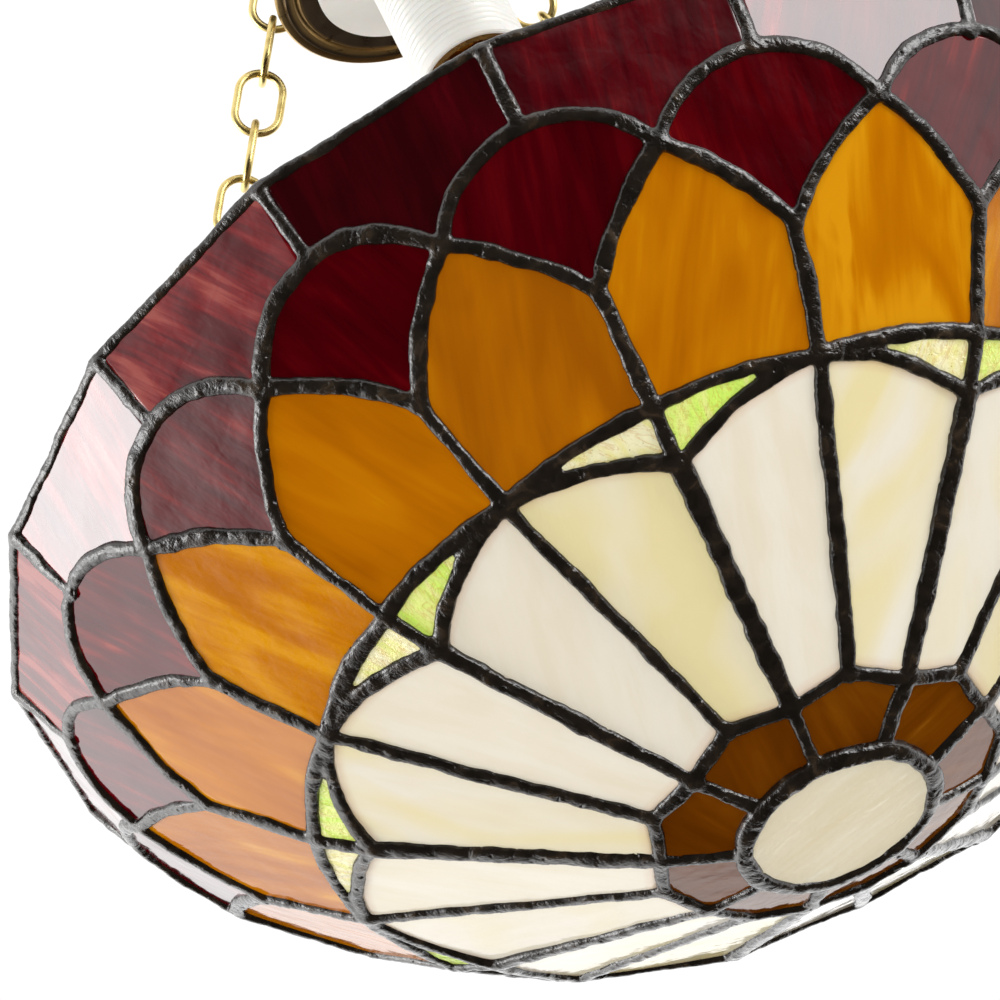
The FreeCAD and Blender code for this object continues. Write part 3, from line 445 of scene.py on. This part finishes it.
def seams_of(even):
    """The edges that one repeat of the pattern adds, from the hub outwards."""
    odd = even + 1
    return [
        line(corner("hub_inner", even), corner("hub_corner", even)),
        line(corner("hub_corner", even), corner("hub_tip", odd)),
        line(corner("hub_corner", even + 2), corner("hub_tip", odd)),
        line(corner("hub_corner", even), corner("petal_corner", even)),
        line(corner("hub_tip", odd), corner("petal_tip", odd)),
        petal_edge(even, odd), petal_edge(even + 2, odd),
        line(corner("petal_corner", even), corner("leaf_top", even)),
        leaf_edge(even, odd), leaf_edge(even + 2, odd),
        line(corner("leaf_top", even), corner("fork", even)),
        line(corner("petal_tip", odd), corner("fork", odd)),
        flame_edge(even, 1), flame_edge(odd, -1), flame_edge(odd, 1), flame_edge(even + 2, -1),
        scallop_edge(even), scallop_edge(odd),
        line(corner("arch", even), corner("rim", even)), line(corner("arch", odd), corner("rim", odd)),
    ]


def joints_of(even):
    """Where one repeat's seams meet: ring, seam and the radius of the drop."""
    odd = even + 1
    return (("hub_corner", even, 3.8), ("hub_tip", odd, 3.4), ("petal_corner", even, 3.0),
            ("petal_tip", odd, 3.6), ("leaf_top", even, 3.2), ("fork", even, 3.2), ("fork", odd, 3.2),
            ("arch", even, 3.0), ("arch", odd, 3.0), ("flame_tip", even + 0.5, 3.1),
            ("flame_tip", odd + 0.5, 3.1))


# The broad seam's place in seams_of, counted from 0
BROAD_PLACE = 3
# How far widths and drops change from seam to seam
WIDTH_CHANGE = 0.5
BLOB_CHANGE = 0.12
DISC_RING_RISE = 0.8
tangle = Tangle()
seed = 0
for even in range(0, 2 * REPEATS, 2):
    for order, edge in enumerate(seams_of(even)):
        seed += 1
        width = BROAD_SEAM if order == BROAD_PLACE else BEAD_WIDTH
        tangle.sweep(path_of(edge), width + WIDTH_CHANGE * math.sin(seed * 1.7), seed)
    for ring, seam, radius in joints_of(even):
        seed += 1
        tangle.blob(corner(ring, seam), radius * (1 + BLOB_CHANGE * math.sin(seed * 2.3)), seed)
disc_ring = [on_disc_edge(turn, DISC_RING_RISE) for turn in np.linspace(0, 2 * math.pi, 150, endpoint=False)]
tangle.sweep(disc_ring, width=6.0, seed=700, closed=True, proud=1.9)
rim_path = []
for seam in SEAMS:
    rim_path += arc_points(corner("rim", seam), None, corner("rim", seam + 1), 2.0)
tangle.sweep(rim_path, width=3.4, seed=800, closed=True, proud=0.9, inside=0.8)

# The beads are fused into one skin of small quads, which then gets its lumps and pits. VOXEL is in metres.
VOXEL = 0.00062
LUMP = 0.26
LUMP_WAVE = 5
GRAIN = 0.11
GRAIN_WAVE = 2.2
PIT_LEVEL = 0.52
PIT_DEPTH = 2.6
PIT_WAVE = 1.7


def lump_height(spot):
    """How far the solder's surface is moved out at a spot, in millimetres."""
    lift = LUMP * noise.noise(spot / LUMP_WAVE) + GRAIN * noise.noise(spot / GRAIN_WAVE + Vector((9, 0, 0)))
    pit = noise.noise(spot / PIT_WAVE + Vector((0, 31, 0)))
    return lift - max(pit - PIT_LEVEL, 0) * PIT_DEPTH


def read_vectors(values, field, count):
    """A mesh's vectors as rows of three."""
    flat = np.empty(count * 3, np.float32)
    values.foreach_get(field, flat)
    return flat.reshape(-1, 3)


raw = new_mesh("solder_raw", tangle.points, tangle.faces)
remesh = raw.modifiers.new("fuse", "REMESH")
remesh.mode = "VOXEL"
remesh.voxel_size = VOXEL
remesh.use_smooth_shade = True
even_out = raw.modifiers.new("even", "SMOOTH")
even_out.factor = 0.5
even_out.iterations = 2
evaluated = raw.evaluated_get(bpy.context.evaluated_depsgraph_get())
solder_mesh = bpy.data.meshes.new_from_object(evaluated)
bpy.data.objects.remove(raw)
solder_mesh.name = "solder_network"
solder = bpy.data.objects.new("solder_network", solder_mesh)
bpy.context.scene.collection.objects.link(solder)

spots = read_vectors(solder_mesh.vertices, "co", len(solder_mesh.vertices))
normals = read_vectors(solder_mesh.vertex_normals, "vector", len(solder_mesh.vertices))
lifts = np.array([lump_height(Vector(spot) / MM) * MM for spot in spots], np.float32)
solder_mesh.vertices.foreach_set("co", (spots + normals * lifts[:, None]).ravel())
solder_mesh.update()
solder_mesh.polygons.foreach_set("use_smooth", [True] * len(solder_mesh.polygons))

# ---------------------------------------------------------------- materials


class Shade:
    """The node tree of a material or the world, built by short calls."""

    def __init__(self, owner, output="ShaderNodeOutputMaterial"):
        owner.use_nodes = True
        self.owner = owner
        self.tree = owner.node_tree
        self.tree.nodes.clear()
        self.out = self.tree.nodes.new(output)

    def node(self, kind, values=None, **settings):
        made = self.tree.nodes.new("ShaderNode" + kind)
        for key, value in settings.items():
            setattr(made, key, value)
        for key, value in (values or {}).items():
            self.feed(made.inputs[key], value)
        return made

    def feed(self, socket, value):
        if isinstance(value, bpy.types.NodeSocket):
            self.tree.links.new(value, socket)
        else:
            socket.default_value = value

    def math(self, operation, first, second=0.0):
        return self.node("Math", {0: first, 1: second}, operation=operation).outputs[0]

    def add(self, first, second):
        return self.math("ADD", first, second)

    def less(self, first, second):
        return self.math("SUBTRACT", first, second)

    def times(self, first, second):
        return self.math("MULTIPLY", first, second)

    def noise(self, vector, scale, detail=3.0, rough=0.5, distortion=0.0):
        made = self.node("TexNoise", {"Vector": vector, "Scale": scale, "Detail": detail, "Roughness": rough,
                                      "Distortion": distortion})
        return made.outputs["Fac"]

    def ramp(self, factor, stops):
        made = self.node("ValToRGB", {"Fac": factor})
        band = made.color_ramp
        while len(band.elements) < len(stops):
            band.elements.new(0.5)
        for element, (place, colour) in zip(band.elements, stops):
            element.position = place
            element.color = colour
        return made.outputs["Color"]

    def mix(self, factor, first, second):
        """Colours mixed by a factor; 6 and 7 are the node's two colour sockets."""
        return self.node("Mix", {0: factor, 6: first, 7: second}, data_type="RGBA").outputs[2]

    def spread(self, value, low, high, to_low=0.0, to_high=1.0):
        made = self.node("MapRange", {"Value": value, "From Min": low, "From Max": high, "To Min": to_low,
                                      "To Max": to_high})
        return made.outputs[0]

    def bump(self, height, strength, distance):
        return self.node("Bump", {"Height": height, "Strength": strength, "Distance": distance}).outputs[0]

    def scaled(self, vector, scale):
        return self.node("Mapping", {"Vector": vector, "Scale": scale}).outputs[0]

    def place(self):
        return self.node("TexCoord").outputs["Object"]

    def attribute(self, name, output="Fac"):
        return self.node("Attribute", attribute_name=name).outputs[output]

    def finish(self, shader):
        self.tree.links.new(shader, self.out.inputs["Surface"])
        return self.owner


def new_shade(name):
    return Shade(bpy.data.materials.new(name))


def srgb(red, green, blue):
    """Linear colour of 0-255 screen values."""
    def straight(value):
        value /= 255
        return value / 12.92 if value <= 0.04045 else ((value + 0.055) / 1.055) ** 2.4
    return straight(red), straight(green), straight(blue), 1


def glass_material(name, stops, streak=0.3, wisps=0.25, lit=0.2, gleam=0.5, dimple=0.2, spread=0.07,
                   patches=None, edge=None):
    """Opal glass: broad clouds and streaks along each piece's grain, a rolled surface, some light through it.

    streak and wisps are the shares of narrow and fine streaks, spread is how far a piece's tone shifts its
    colour, patches a tint with the noise levels it comes in at, edge a darker tint at the foil and its
    strength;
    that tint is partly patina stain and partly painted shade along the solder."""
    shade = new_shade(name)
    flow = shade.attribute("flow", "Vector")
    tone = shade.attribute("tone")
    clouds = shade.noise(shade.scaled(flow, (1.6, 5, 1.6)), 1.0, 2, 0.45, 1.2)
    streaks = shade.noise(shade.scaled(flow, (2.2, 16, 2.2)), 1.0, 3, 0.5, 0.9)
    fine = shade.noise(shade.scaled(flow, (4, 60, 4)), 1.0, 2, 0.5, 0.4)
    field = shade.add(shade.times(clouds, 1 - streak - wisps), shade.times(streaks, streak))
    field = shade.add(field, shade.times(fine, wisps))
    field = shade.add(field, shade.spread(tone, 0, 1, -spread, spread))
    colour = shade.ramp(shade.spread(field, 0.3, 0.72), stops)
    if patches:
        tint, least, most = patches
        blot = shade.noise(shade.scaled(flow, (1.1, 2.6, 1.1)), 1.0, 2, 0.4, 1.2)
        blot = shade.add(blot, shade.spread(tone, 0, 1, -0.3, 0.22))
        colour = shade.mix(shade.spread(blot, least, most), colour, tint)
    # Darker glass next to the foil: partly patina stain, partly painted shade along the solder beads.
    if edge:
        tint, strength = edge
        colour = shade.mix(shade.spread(shade.attribute("inset"), 0.9, 1.0, 0.0, strength), colour, tint)
    ripples = shade.noise(shade.scaled(flow, (14, 22, 14)), 1.0, 2, 0.5, 0.3)
    rolled = shade.noise(shade.scaled(flow, (6, 90, 6)), 1.0, 1, 0.5, 0.2)
    specks = shade.noise(shade.scaled(flow, (160, 160, 160)), 1.0, 1, 0.5)
    height = shade.add(ripples, shade.times(rolled, 0.05))
    height = shade.less(height, shade.spread(specks, 0.78, 0.86, 0.0, 0.5))
    body = shade.node("BsdfPrincipled", {
        "Base Color": colour, "Roughness": 0.07, "IOR": 1.52, "Specular IOR Level": gleam,
        "Normal": shade.bump(height, dimple, 0.0015)})
    glow = shade.node("BsdfTranslucent", {"Color": colour})
    return shade.finish(shade.node("MixShader", {0: lit, 1: body.outputs[0], 2: glow.outputs[0]}).outputs[0])


def clear_glass(name, stops):
    """Hammered clear glass, each piece of its own colour, with soft amber curls and small seeds."""
    shade = new_shade(name)
    flow = shade.attribute("flow", "Vector")
    tone = shade.attribute("tone")
    field = shade.noise(shade.scaled(flow, (6, 14, 6)), 1.0, 3, 0.5, 1.4)
    field = shade.add(shade.spread(field, 0.35, 0.65, 0.2, 0.8), shade.spread(tone, 0, 1, -0.45, 0.45))
    colour = shade.ramp(field, stops)
    curl = shade.noise(shade.scaled(flow, (7, 20, 7)), 1.0, 3, 0.55, 3.0)
    band = shade.math("ABSOLUTE", shade.less(curl, 0.56))
    colour = shade.mix(shade.spread(band, 0.0, 0.045, 0.42, 0.0), colour, srgb(206, 150, 60))
    lumps = shade.noise(shade.scaled(flow, (30, 30, 30)), 1.0, 2, 0.5, 0.8)
    creases = shade.noise(shade.scaled(flow, (70, 40, 70)), 1.0, 3, 0.5, 1.2)
    normal = shade.bump(shade.add(lumps, shade.times(creases, 0.4)), 0.4, 0.0024)
    seeds = shade.node("TexVoronoi", {"Vector": shade.scaled(flow, (45, 45, 45)), "Scale": 1.0})
    seed_mask = shade.spread(seeds.outputs["Distance"], 0.05, 0.12, 0.7, 0.0)
    colour = shade.mix(seed_mask, colour, srgb(120, 112, 60))
    body = shade.node("BsdfPrincipled", {
        "Base Color": colour, "Roughness": 0.06, "IOR": 1.5, "Normal": normal, "Transmission Weight": 0.15})
    glow = shade.node("BsdfTranslucent", {"Color": colour, "Normal": normal})
    return shade.finish(shade.node("MixShader", {0: 0.2, 1: body.outputs[0], 2: glow.outputs[0]}).outputs[0])


def solder_material():
    """Black patina over solder: glossy, with soft dents, fine scratches and a little bronze showing."""
    shade = new_shade("black patina")
    place = shade.place()
    broad = shade.noise(place, 130, 3, 0.55, 0.8)
    fine = shade.noise(place, 700, 3, 0.6, 0.5)
    drawn = shade.noise(shade.scaled(place, (900, 140, 500)), 1.0, 2.0, 0.5, 2.5)
    colour = shade.ramp(broad, [(0.4, srgb(20, 16, 12)), (0.58, srgb(30, 24, 18)), (0.7, srgb(48, 38, 28)),
                                (0.8, srgb(70, 58, 44))])
    height = shade.add(broad, shade.times(fine, 0.16))
    height = shade.add(height, shade.times(drawn, 0.12))
    body = shade.node("BsdfPrincipled", {
        "Base Color": colour, "Roughness": shade.spread(fine, 0.35, 0.65, 0.13, 0.27),
        "Specular IOR Level": 0.5, "Normal": shade.bump(height, 0.75, 0.0012)})
    return shade.finish(body.outputs[0])


def metal_material(name, clean, aged, rough, patch=220, wear=0.5):
    """A metal with patches of age, small scratches and uneven gloss."""
    shade = new_shade(name)
    place = shade.place()
    broad = shade.noise(place, patch, 5, 0.6, 0.8)
    fine = shade.noise(place, 1400, 2, 0.5)
    colour = shade.mix(shade.spread(broad, 0.62 - wear * 0.4, 0.82 - wear * 0.3), clean, aged)
    gloss = shade.spread(broad, 0.3, 0.7, rough * 0.75, rough * 1.4)
    height = shade.add(shade.times(broad, 0.5), shade.times(fine, 0.1))
    body = shade.node("BsdfPrincipled", {
        "Base Color": colour, "Metallic": 1.0, "Roughness": gloss, "Normal": shade.bump(height, 0.1, 0.0003)})
    return shade.finish(body.outputs[0])


def brass_painted_bands(name, lit_and_shaded_bands):
    """Antique brass turned on a lathe, with fine turning lines; its colour bands by distance from the axis
    are painted light and shade of the stepped faces.
    """
    shade = new_shade(name)
    place = shade.place()
    flat = shade.node("VectorMath", {0: place, 1: (1, 1, 0)}, operation="MULTIPLY").outputs[0]
    radius = shade.node("VectorMath", {0: flat}, operation="LENGTH").outputs["Value"]
    wobble = shade.noise(place, 160, 4, 0.6)
    reach = shade.add(radius, shade.spread(wobble, 0, 1, -0.0004, 0.0004))
    # The colour bands by radius are painted light and painted shade of the stepped faces.
    colour = shade.ramp(shade.spread(reach, 0.0, 0.055), lit_and_shaded_bands)
    stain = shade.noise(place, 90, 5, 0.65, 1.0)
    colour = shade.mix(shade.spread(stain, 0.45, 0.75, 0.0, 0.45), colour, srgb(74, 58, 34))
    lines = shade.node("TexWave", {"Vector": place, "Scale": 260.0, "Distortion": 0.3, "Detail": 2.0},
                       wave_type="RINGS", rings_direction="Z")
    body = shade.node("BsdfPrincipled", {
        "Base Color": colour, "Metallic": 0.9, "Roughness": shade.spread(stain, 0.3, 0.7, 0.24, 0.42),
        "Normal": shade.bump(lines.outputs["Fac"], 0.06, 0.0002), "Coat Weight": 0.15, "Coat Roughness": 0.2})
    return shade.finish(body.outputs[0])


def plastic_material(name, colour, dark, rough=0.35, soft=0.1):
    """A moulded plastic or ceramic with faint clouds and a fine grain."""
    shade = new_shade(name)
    place = shade.place()
    broad = shade.noise(place, 70, 4, 0.6)
    fine = shade.noise(place, 500, 2, 0.5)
    tint = shade.mix(shade.spread(broad, 0.4, 0.75, 0.0, 0.5), colour, dark)
    body = shade.node("BsdfPrincipled", {
        "Base Color": tint, "Roughness": shade.spread(broad, 0.3, 0.7, rough * 0.85, rough * 1.2),
        "Normal": shade.bump(fine, 0.03, 0.0001), "Subsurface Weight": soft, "Subsurface Scale": 0.002})
    return shade.finish(body.outputs[0])


# ---------------------------------------------------------------- the glass and its colours

# Tone of each piece from 0 to 1, in order round the bowl; a short list repeats
PETAL_TONES = (0.7, 0.8, 0.2, 0.9, 0.1, 0.25, 0.75, 0.15, 0.6)
LEAF_TONES = (0.12, 0.85)
FLAME_TONES = (0.8, 1.0, 0.55, 0.15, 0.5, 0.95, 0.8, 0.6, 0.4)
SCALLOP_TONES = (0.7, 0.6, 0.45, 0.4, 0.75, 0.9, 0.7, 0.5, 0.3)
RIM_TONES = (0.6, 0.7, 0.2, 0.9, 0.8, 1.0, 0.7, 0.5, 0.4)
HUB_TIPS = [even + 1 for even in range(0, 2 * REPEATS, 2)]
petals = glass_group("petal_glass", [petal_outline(*pair) for pair in PAIRS], 3.0, tones=PETAL_TONES)
disc = glass_group("disc_glass", [disc_outline()], 3.0)
hubs = glass_group("hub_glass", [hub_outline(seam) for seam in HUB_TIPS], 2.0)
leaves = glass_group("leaf_glass", [leaf_outline(*pair) for pair in PAIRS], 1.6, ripple=0.5, tones=LEAF_TONES)
flames = glass_group("flame_glass", [flame_outline(*pair) for pair in PAIRS], 2.2, tones=FLAME_TONES)
scallops = glass_group("scallop_glass", [scallop_outline(seam) for seam in SEAMS], 2.2, tones=SCALLOP_TONES)
rims = glass_group("rim_glass", [rim_outline(seam) for seam in SEAMS], 2.4, tones=RIM_TONES)

# Stops run from a piece's darkest streaks to its lightest
# The edge tints of the cream and orange glass are partly patina stain and partly painted shade along the
# solder.
cream = glass_material(
    "cream opal glass", [(0.0, srgb(224, 214, 192)), (0.5, srgb(228, 220, 204)), (1.0, srgb(231, 225, 212))],
    wisps=0.1, lit=0.2, dimple=0.12, patches=(srgb(226, 213, 164), 0.46, 0.76),
    edge=(srgb(206, 160, 126), 0.5))
pale_amber = glass_material(
    "pale amber opal glass", [(0, srgb(228, 214, 180)), (1, srgb(238, 230, 208))], lit=0.2)
amber_brown = glass_material(
    "amber brown glass", [(0, srgb(82, 38, 0)), (0.5, srgb(100, 50, 1)), (0.8, srgb(112, 60, 3)),
                          (1, srgb(134, 80, 14))],
    streak=0.3, wisps=0.1, lit=0.15, dimple=0.1)
hammered_green = clear_glass(
    "hammered green glass", [(0.0, srgb(214, 244, 110)), (0.35, srgb(230, 240, 140)),
                             (0.7, srgb(242, 234, 168)), (1.0, srgb(246, 240, 200))])
orange = glass_material(
    "orange opal glass", [(0, srgb(152, 82, 0)), (0.4, srgb(172, 98, 0)), (0.7, srgb(184, 111, 1)),
                          (1, srgb(204, 138, 12))],
    streak=0.2, wisps=0.08, lit=0.18, dimple=0.08, gleam=0.33, spread=0.16, edge=(srgb(132, 66, 2), 0.3))
dark_red = glass_material(
    "dark red glass", [(0, srgb(46, 0, 3)), (0.45, srgb(64, 0, 5)), (0.75, srgb(82, 2, 8)),
                       (0.92, srgb(110, 14, 10)), (1, srgb(132, 44, 28))],
    streak=0.4, wisps=0.14, lit=0.08, dimple=0.05, spread=0.13)
deep_red = glass_material(
    "deep red glass", [(0, srgb(40, 0, 3)), (0.4, srgb(56, 0, 6)), (0.7, srgb(78, 3, 10)),
                       (0.88, srgb(112, 18, 22)), (1, srgb(140, 58, 50))],
    streak=0.4, wisps=0.14, lit=0.08, dimple=0.05, spread=0.16)
looks = {
    petals: (cream, "petal_panels", "petal_glass"),
    disc: (pale_amber, "centre_disc", "disc_glass"),
    hubs: (amber_brown, "hub_panels", "hub_glass"),
    leaves: (hammered_green, "leaf_panels", "leaf_glass"),
    flames: (orange, "flame_panels", "flame_glass"),
    scallops: (dark_red, "scallop_panels", "scallop_glass"),
    rims: (deep_red, "rim_panels", "rim_glass"),
}
for piece, (material, node, slot) in looks.items():
    piece.data.materials.append(material)
    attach(piece, "bowl")
    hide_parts(node)
solder.data.materials.append(solder_material())
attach(solder, "bowl")
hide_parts("inner_solder", "middle_solder", "outer_solder", "centre_solder", "rim_came")

# ---------------------------------------------------------------- finishes of the CAD nodes

chain_brass = metal_material("chain brass", srgb(196, 176, 116), srgb(168, 144, 84), 0.36, patch=90, wear=0.4)
bright_brass = metal_material("socket brass", srgb(226, 188, 110), srgb(190, 150, 80), 0.24)
zinc = metal_material("zinc plated steel", srgb(196, 198, 196), srgb(150, 150, 148), 0.35)
# Bands by radius, where 1 is 55 mm: the light bands and the brightest one paint lit faces and a highlight on
# the stepped cap, the dark band and the dark middle paint shade in the step and the recess
painted_band_brass = brass_painted_bands("brass with painted light bands", [
    (0.0, srgb(96, 80, 58)), (0.66, srgb(88, 70, 48)), (0.68, srgb(146, 116, 66)),
    (0.73, srgb(170, 138, 82)), (0.755, srgb(74, 58, 38)), (0.80, srgb(130, 104, 60)),
    (0.83, srgb(190, 160, 104)), (1.0, srgb(150, 120, 72))])
white = plastic_material("white plastic", srgb(222, 221, 216), srgb(208, 206, 199), 0.3, 0.15)
# A lighter copy of the white plastic for the flange: painted light, not a whiter plastic.
lit_white = plastic_material("white plastic, painted lit", srgb(252, 251, 246), srgb(244, 242, 235), 0.3, 0.15)
ceramic = plastic_material("white ceramic", srgb(232, 228, 218), srgb(214, 206, 192), 0.45)
nylon = plastic_material("nylon", srgb(226, 222, 208), srgb(208, 202, 184), 0.4)
brown = plastic_material("brown insulation", srgb(96, 58, 34), srgb(78, 46, 26))
blue = plastic_material("blue insulation", srgb(52, 98, 180), srgb(40, 80, 150))
green = plastic_material("green insulation", srgb(120, 160, 52), srgb(90, 130, 40))
FINISHES = {
    chain_brass: ["chain_left", "chain_right", "chain_back", "chain_eyes", "bowl_loops", "eye_nuts"],
    painted_band_brass: ["ceiling_rose", "stepped_cap", "rod_sleeve", "rose_nut"],
    bright_brass: ["screw_shell", "centre_contact", "earth_screw"],
    zinc: ["ceiling_bracket", "threaded_rod", "upper_rod_nut", "lower_rod_nut"],
    # The flange takes the lit copy of the white plastic, which paints light on it.
    white: ["holder_dome", "holder_skirt"], lit_white: ["holder_flange"],
    ceramic: ["contact_insert"], nylon: ["terminal_block"],
    brown: ["live_wire"], blue: ["neutral_wire"], green: ["earth_wire"],
}
for material, names in FINISHES.items():
    for name in names:
        mesh = nodes[name].data
        mesh.materials.clear()
        mesh.materials.append(material)

# ---------------------------------------------------------------- floor, world, light and camera, in metres

FLOOR = -1.9
FLOOR_SIZE = 240
bpy.ops.mesh.primitive_plane_add(size=FLOOR_SIZE, location=(0, 0, FLOOR))
floor = bpy.context.object
floor.name = "floor"
shade = new_shade("pale floor")
tint = shade.mix(shade.noise(shade.place(), 2.5, 3), (0.86, 0.86, 0.85, 1), (0.82, 0.82, 0.81, 1))
matte = shade.node("BsdfPrincipled", {"Base Color": tint, "Roughness": 0.8, "Specular IOR Level": 0.1})
floor.data.materials.append(shade.finish(matte.outputs[0]))
floor.visible_glossy = False

bpy.context.scene.world = bpy.data.worlds.new("studio")
sky = Shade(bpy.context.scene.world, "ShaderNodeOutputWorld")
gaze = sky.node("TexCoord").outputs["Generated"]


def direction(azimuth, elevation):
    turn, rise = math.radians(azimuth), math.radians(elevation)
    return math.cos(turn) * math.cos(rise), math.sin(turn) * math.cos(rise), math.sin(rise)


def facing(azimuth, elevation, inner, outer):
    """1 within the inner angle of a direction, 0 beyond the outer one."""
    aim = direction(azimuth, elevation)
    dot = sky.node("VectorMath", {0: gaze, 1: aim}, operation="DOT_PRODUCT").outputs["Value"]
    made = sky.node("MapRange", {"Value": dot, "From Min": math.cos(math.radians(outer)),
                                 "From Max": math.cos(math.radians(inner))}, interpolation_type="SMOOTHSTEP")
    return made.outputs[0]


# The room lights matte surfaces, dimmer on the photographer's side. Polished surfaces mirror a brighter room
# with a haze and two soft boxes, dark straight below. The camera sees plain white.
# Aims are azimuth and elevation in degrees.
ROOM = 0.82
DIMMING = 0.985
MIRROR_GAIN = 2.3
BACKDROP = 1.05
dim_side = facing(azimuth=-62, elevation=-34, inner=43, outer=64)
haze = sky.times(facing(azimuth=-150, elevation=0, inner=25, outer=46), 1.3)
left_box = sky.times(facing(azimuth=-138, elevation=4, inner=9, outer=17), 11.0)
right_box = sky.times(facing(azimuth=12, elevation=-2, inner=14, outer=20), 10.0)
below = facing(azimuth=0, elevation=-90, inner=57, outer=72)
room = sky.times(sky.less(1.0, sky.times(dim_side, DIMMING)), ROOM)
mirrored = sky.add(sky.times(room, MIRROR_GAIN), sky.add(haze, sky.add(left_box, right_box)))
mirrored = sky.times(mirrored, sky.less(1.0, below))
path = sky.node("LightPath").outputs
level = sky.add(room, sky.times(sky.less(mirrored, room), path["Is Glossy Ray"]))
level = sky.add(level, sky.times(sky.less(BACKDROP, level), path["Is Camera Ray"]))
sky.finish(sky.node("Background", {"Color": (1, 1, 1, 1), "Strength": level}).outputs[0])

BOWL_MIDDLE = Vector((0, 0, -0.36))


def soft_light(name, azimuth, elevation, distance, size, power):
    """A disc of light aimed at the bowl, which polished surfaces don't mirror."""
    light = bpy.data.lights.new(name, "AREA")
    light.shape = "DISK"
    light.size = size
    light.energy = power
    lamp = bpy.data.objects.new(name, light)
    away = Vector(direction(azimuth, elevation))
    lamp.location = BOWL_MIDDLE + away * distance
    lamp.rotation_euler = away.to_track_quat("Z", "Y").to_euler()
    lamp.visible_glossy = False
    lamp.visible_camera = False
    bpy.context.scene.collection.objects.link(lamp)


soft_light("key", azimuth=-60, elevation=-34, distance=1.7, size=1.3, power=10.5)
soft_light("left box", azimuth=-138, elevation=0, distance=1.9, size=0.8, power=25)
soft_light("right box", azimuth=14, elevation=-6, distance=1.9, size=0.8, power=19)

# The photo's angle: the camera's place, the direction it looks in, and its tilt about that direction
CAMERA_PLACE = (0.77966, -1.01632, -1.25032)
CAMERA_AZIMUTH = 129.7136
CAMERA_ELEVATION = 36.7061
CAMERA_TILT = -25.9113
camera_data = bpy.data.cameras.new("camera")
camera_data.sensor_width = 36
camera_data.lens = 180.2
camera_data.clip_end = 400
camera = bpy.data.objects.new("camera", camera_data)
bpy.context.scene.collection.objects.link(camera)
level_turn = Vector(direction(CAMERA_AZIMUTH, CAMERA_ELEVATION)).to_track_quat("-Z", "Y").to_matrix()
tilt = Matrix.Rotation(math.radians(CAMERA_TILT), 3, "Z")
camera.matrix_world = Matrix.Translation(CAMERA_PLACE) @ (level_turn @ tilt).to_4x4()
bpy.context.scene.camera = camera
bpy.context.scene.view_settings.view_transform = "Standard"
